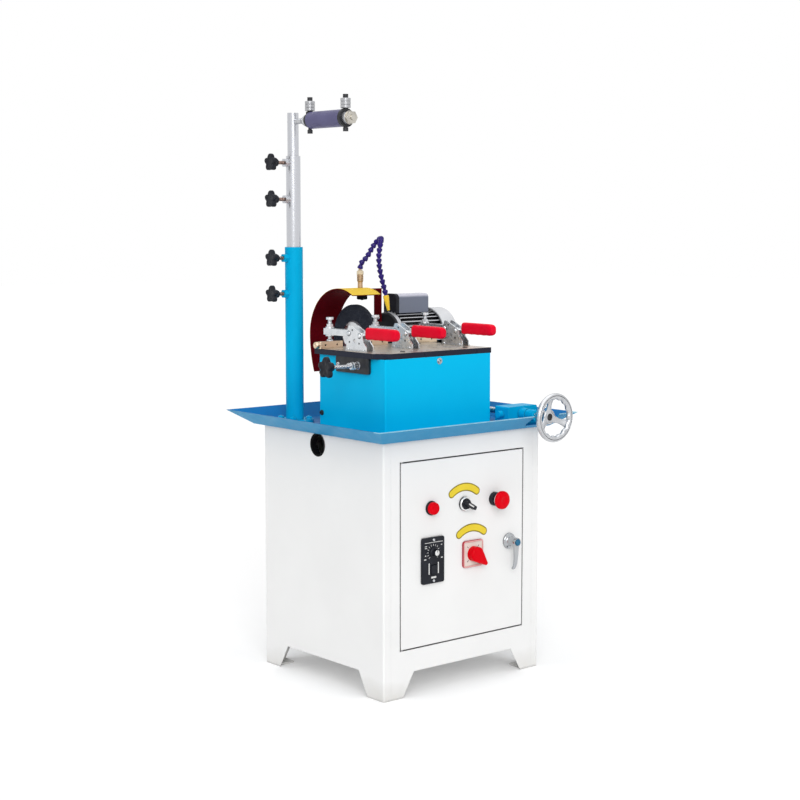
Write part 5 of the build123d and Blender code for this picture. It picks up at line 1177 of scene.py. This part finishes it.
# clamp spindles: threads on the rods, below and above each arm
spindle = {"y": 63, "feet": (744.5, 776.5), "thread": dict(radius=3.95, pitch=1.25, length=8.6, depth=0.5)}
for number, middle in enumerate(clampHandle["middles"], 1):
    growPiece(thread, f"spindleThread_{number}", "zinc", f"clamp_{number}_arm", "zinc",
              [((middle, spindle["y"], foot), upward) for foot in spindle["feet"]], **spindle["thread"])

# capacitor's black end cap, following the box's arched section
endCap = {"left": 103.2, "right": 112, "middle": 162, "half": 22.9, "low": 787, "top": 831.9, "corner": 10.8,
          "cornerSteps": 8, "bevel": 1.2}
half, corner = endCap["half"], endCap["corner"]
outline = [(half, endCap["low"])]
for side, first in ((1, 0), (-1, 90)):
    outline += arc(side * (half - corner), endCap["top"] - corner, corner, first, 90, endCap["cornerSteps"])
outline.append((-half, endCap["low"]))
made = Shape()
made.slab(outline, endCap["left"], endCap["right"], lambda u, v, w: (w, endCap["middle"] + u, v))
made.soften(endCap["bevel"], 2)
addPiece("capacitorEndCap", made, "grinding_head", ("blackPlastic",), "black_plastic")

# coolant nipple's pale collar and the knurl below it
nipple = {"x": 14, "y": 162, "collarFoot": 878, "knurlMiddle": 870.3,
          "collar": [(7.2, 0.2), (7.9, 0.6), (7.9, 7.4), (7.2, 8.3), (3.9, 11.2), (3.9, 0.2), (7.2, 0.2)],
          "knurl": dict(count=33, radius=7.0, wide=0.7, tall=13, deep=0.7)}
made = Shape()
made.turn((nipple["x"], nipple["y"], nipple["collarFoot"]), upward, nipple["collar"], 0, 36)
addPiece("nippleCollar", made, "coolant_line", ("creamBrass",), "bronze")
growPiece(ribRing, "nippleKnurl", "bronze", "coolant_line", "bronze",
          [((nipple["x"], nipple["y"], nipple["knurlMiddle"]), upward)], **nipple["knurl"])

# paper blotters beside the wheel
blotters = {"out": 5.9, "axis": (162, 735), "section": [(20, 0), (38, 0), (38, 0.45), (20, 0.45), (20, 0)]}
made = Shape()
for side in (-1, 1):
    made.turn((side * blotters["out"], *blotters["axis"]), (side, 0, 0), blotters["section"], 0, 64)
addPiece("wheelBlotters", made, "rotor", ("blotter",), "wheel_abrasive")
print("grinding head dressed")

# camera where the photograph was taken from
viewpoint = {"place": (-2.3461, -2.7777, 1.0038), "tilt": 83.71, "turn": -40.15, "lens": 73.68,
             "sensor": 36.0}
eye = bpy.data.cameras.new("eye")
eye.lens = viewpoint["lens"]
eye.sensor_width = viewpoint["sensor"]
eyeObject = bpy.data.objects.new("eye", eye)
eyeObject.location = viewpoint["place"]
eyeObject.rotation_euler = (math.radians(viewpoint["tilt"]), 0.0, math.radians(viewpoint["turn"]))
bpy.context.scene.collection.objects.link(eyeObject)
bpy.context.scene.camera = eyeObject

# broad suns, so that the floor and the cabinet are lit evenly: one before the corner, one above
suns = {
    "keySun": {"from": (-0.62, -0.82, 0.5), "angle": 40, "strength": 1.54},
    "overSun": {"from": upward, "angle": 80, "strength": 1.1},
}
for name, sun in suns.items():
    light = bpy.data.lights.new(name, "SUN")
    light.angle = math.radians(sun["angle"])
    light.energy = sun["strength"]
    lamp = bpy.data.objects.new(name, light)
    lamp.rotation_euler = Vector(sun["from"]).to_track_quat("Z", "Y").to_euler()
    bpy.context.scene.collection.objects.link(lamp)

# white studio: what the camera and mirrors see is white, what lights the object is dimmer
studio = {"seen": 1.0, "lighting": 0.42, "floorSize": 40.0, "floorTone": 0.92, "floorLift": 0.15}


def byRay(wiring, low, high):
    # high for rays from the camera, off mirrors and through glass, low for those that only light
    kinds = ("Camera", "Glossy", "Transmission")
    rays = [wiring.node("ShaderNodeLightPath", {}, {}, f"Is {kind} Ray") for kind in kinds]
    seen = rays[0].calc("MAXIMUM", rays[1]).calc("MAXIMUM", rays[2])
    return wiring.node("ShaderNodeMapRange", {}, {"Value": seen, "To Min": low, "To Max": high})


def emptied(holder):
    holder.use_nodes = True
    holder.node_tree.nodes.clear()
    return Wiring(holder.node_tree)


sky = bpy.data.worlds.new("studio")
bpy.context.scene.world = sky
w = emptied(sky)
level = byRay(w, studio["lighting"], studio["seen"])
glow = w.node("ShaderNodeBackground", {}, {"Color": (1, 1, 1, 1), "Strength": level})
w.node("ShaderNodeOutputWorld", {}, {"Surface": glow})

half = studio["floorSize"] / 2
floorMesh = bpy.data.meshes.new("floor")
corners = [(-half, -half, 0), (half, -half, 0), (half, half, 0), (-half, half, 0)]
floorMesh.from_pydata(corners, [], [(0, 1, 2, 3)])
floor = bpy.data.objects.new("floor", floorMesh)
bpy.context.scene.collection.objects.link(floor)
floorPaint = bpy.data.materials.new("floorPaint")
w = emptied(floorPaint)
tone = studio["floorTone"]
matt = w.node("ShaderNodeBsdfDiffuse", {}, {"Color": (tone, tone, tone, 1)})
lift = w.node("ShaderNodeEmission", {}, {"Color": byRay(w, 0.0, studio["floorLift"])})
w.node("ShaderNodeOutputMaterial", {}, {"Surface": w.node("ShaderNodeAddShader", {}, {0: matt, 1: lift})})
floorMesh.materials.append(floorPaint)
bpy.context.scene.view_settings.view_transform = "Standard"
print("studio lit")
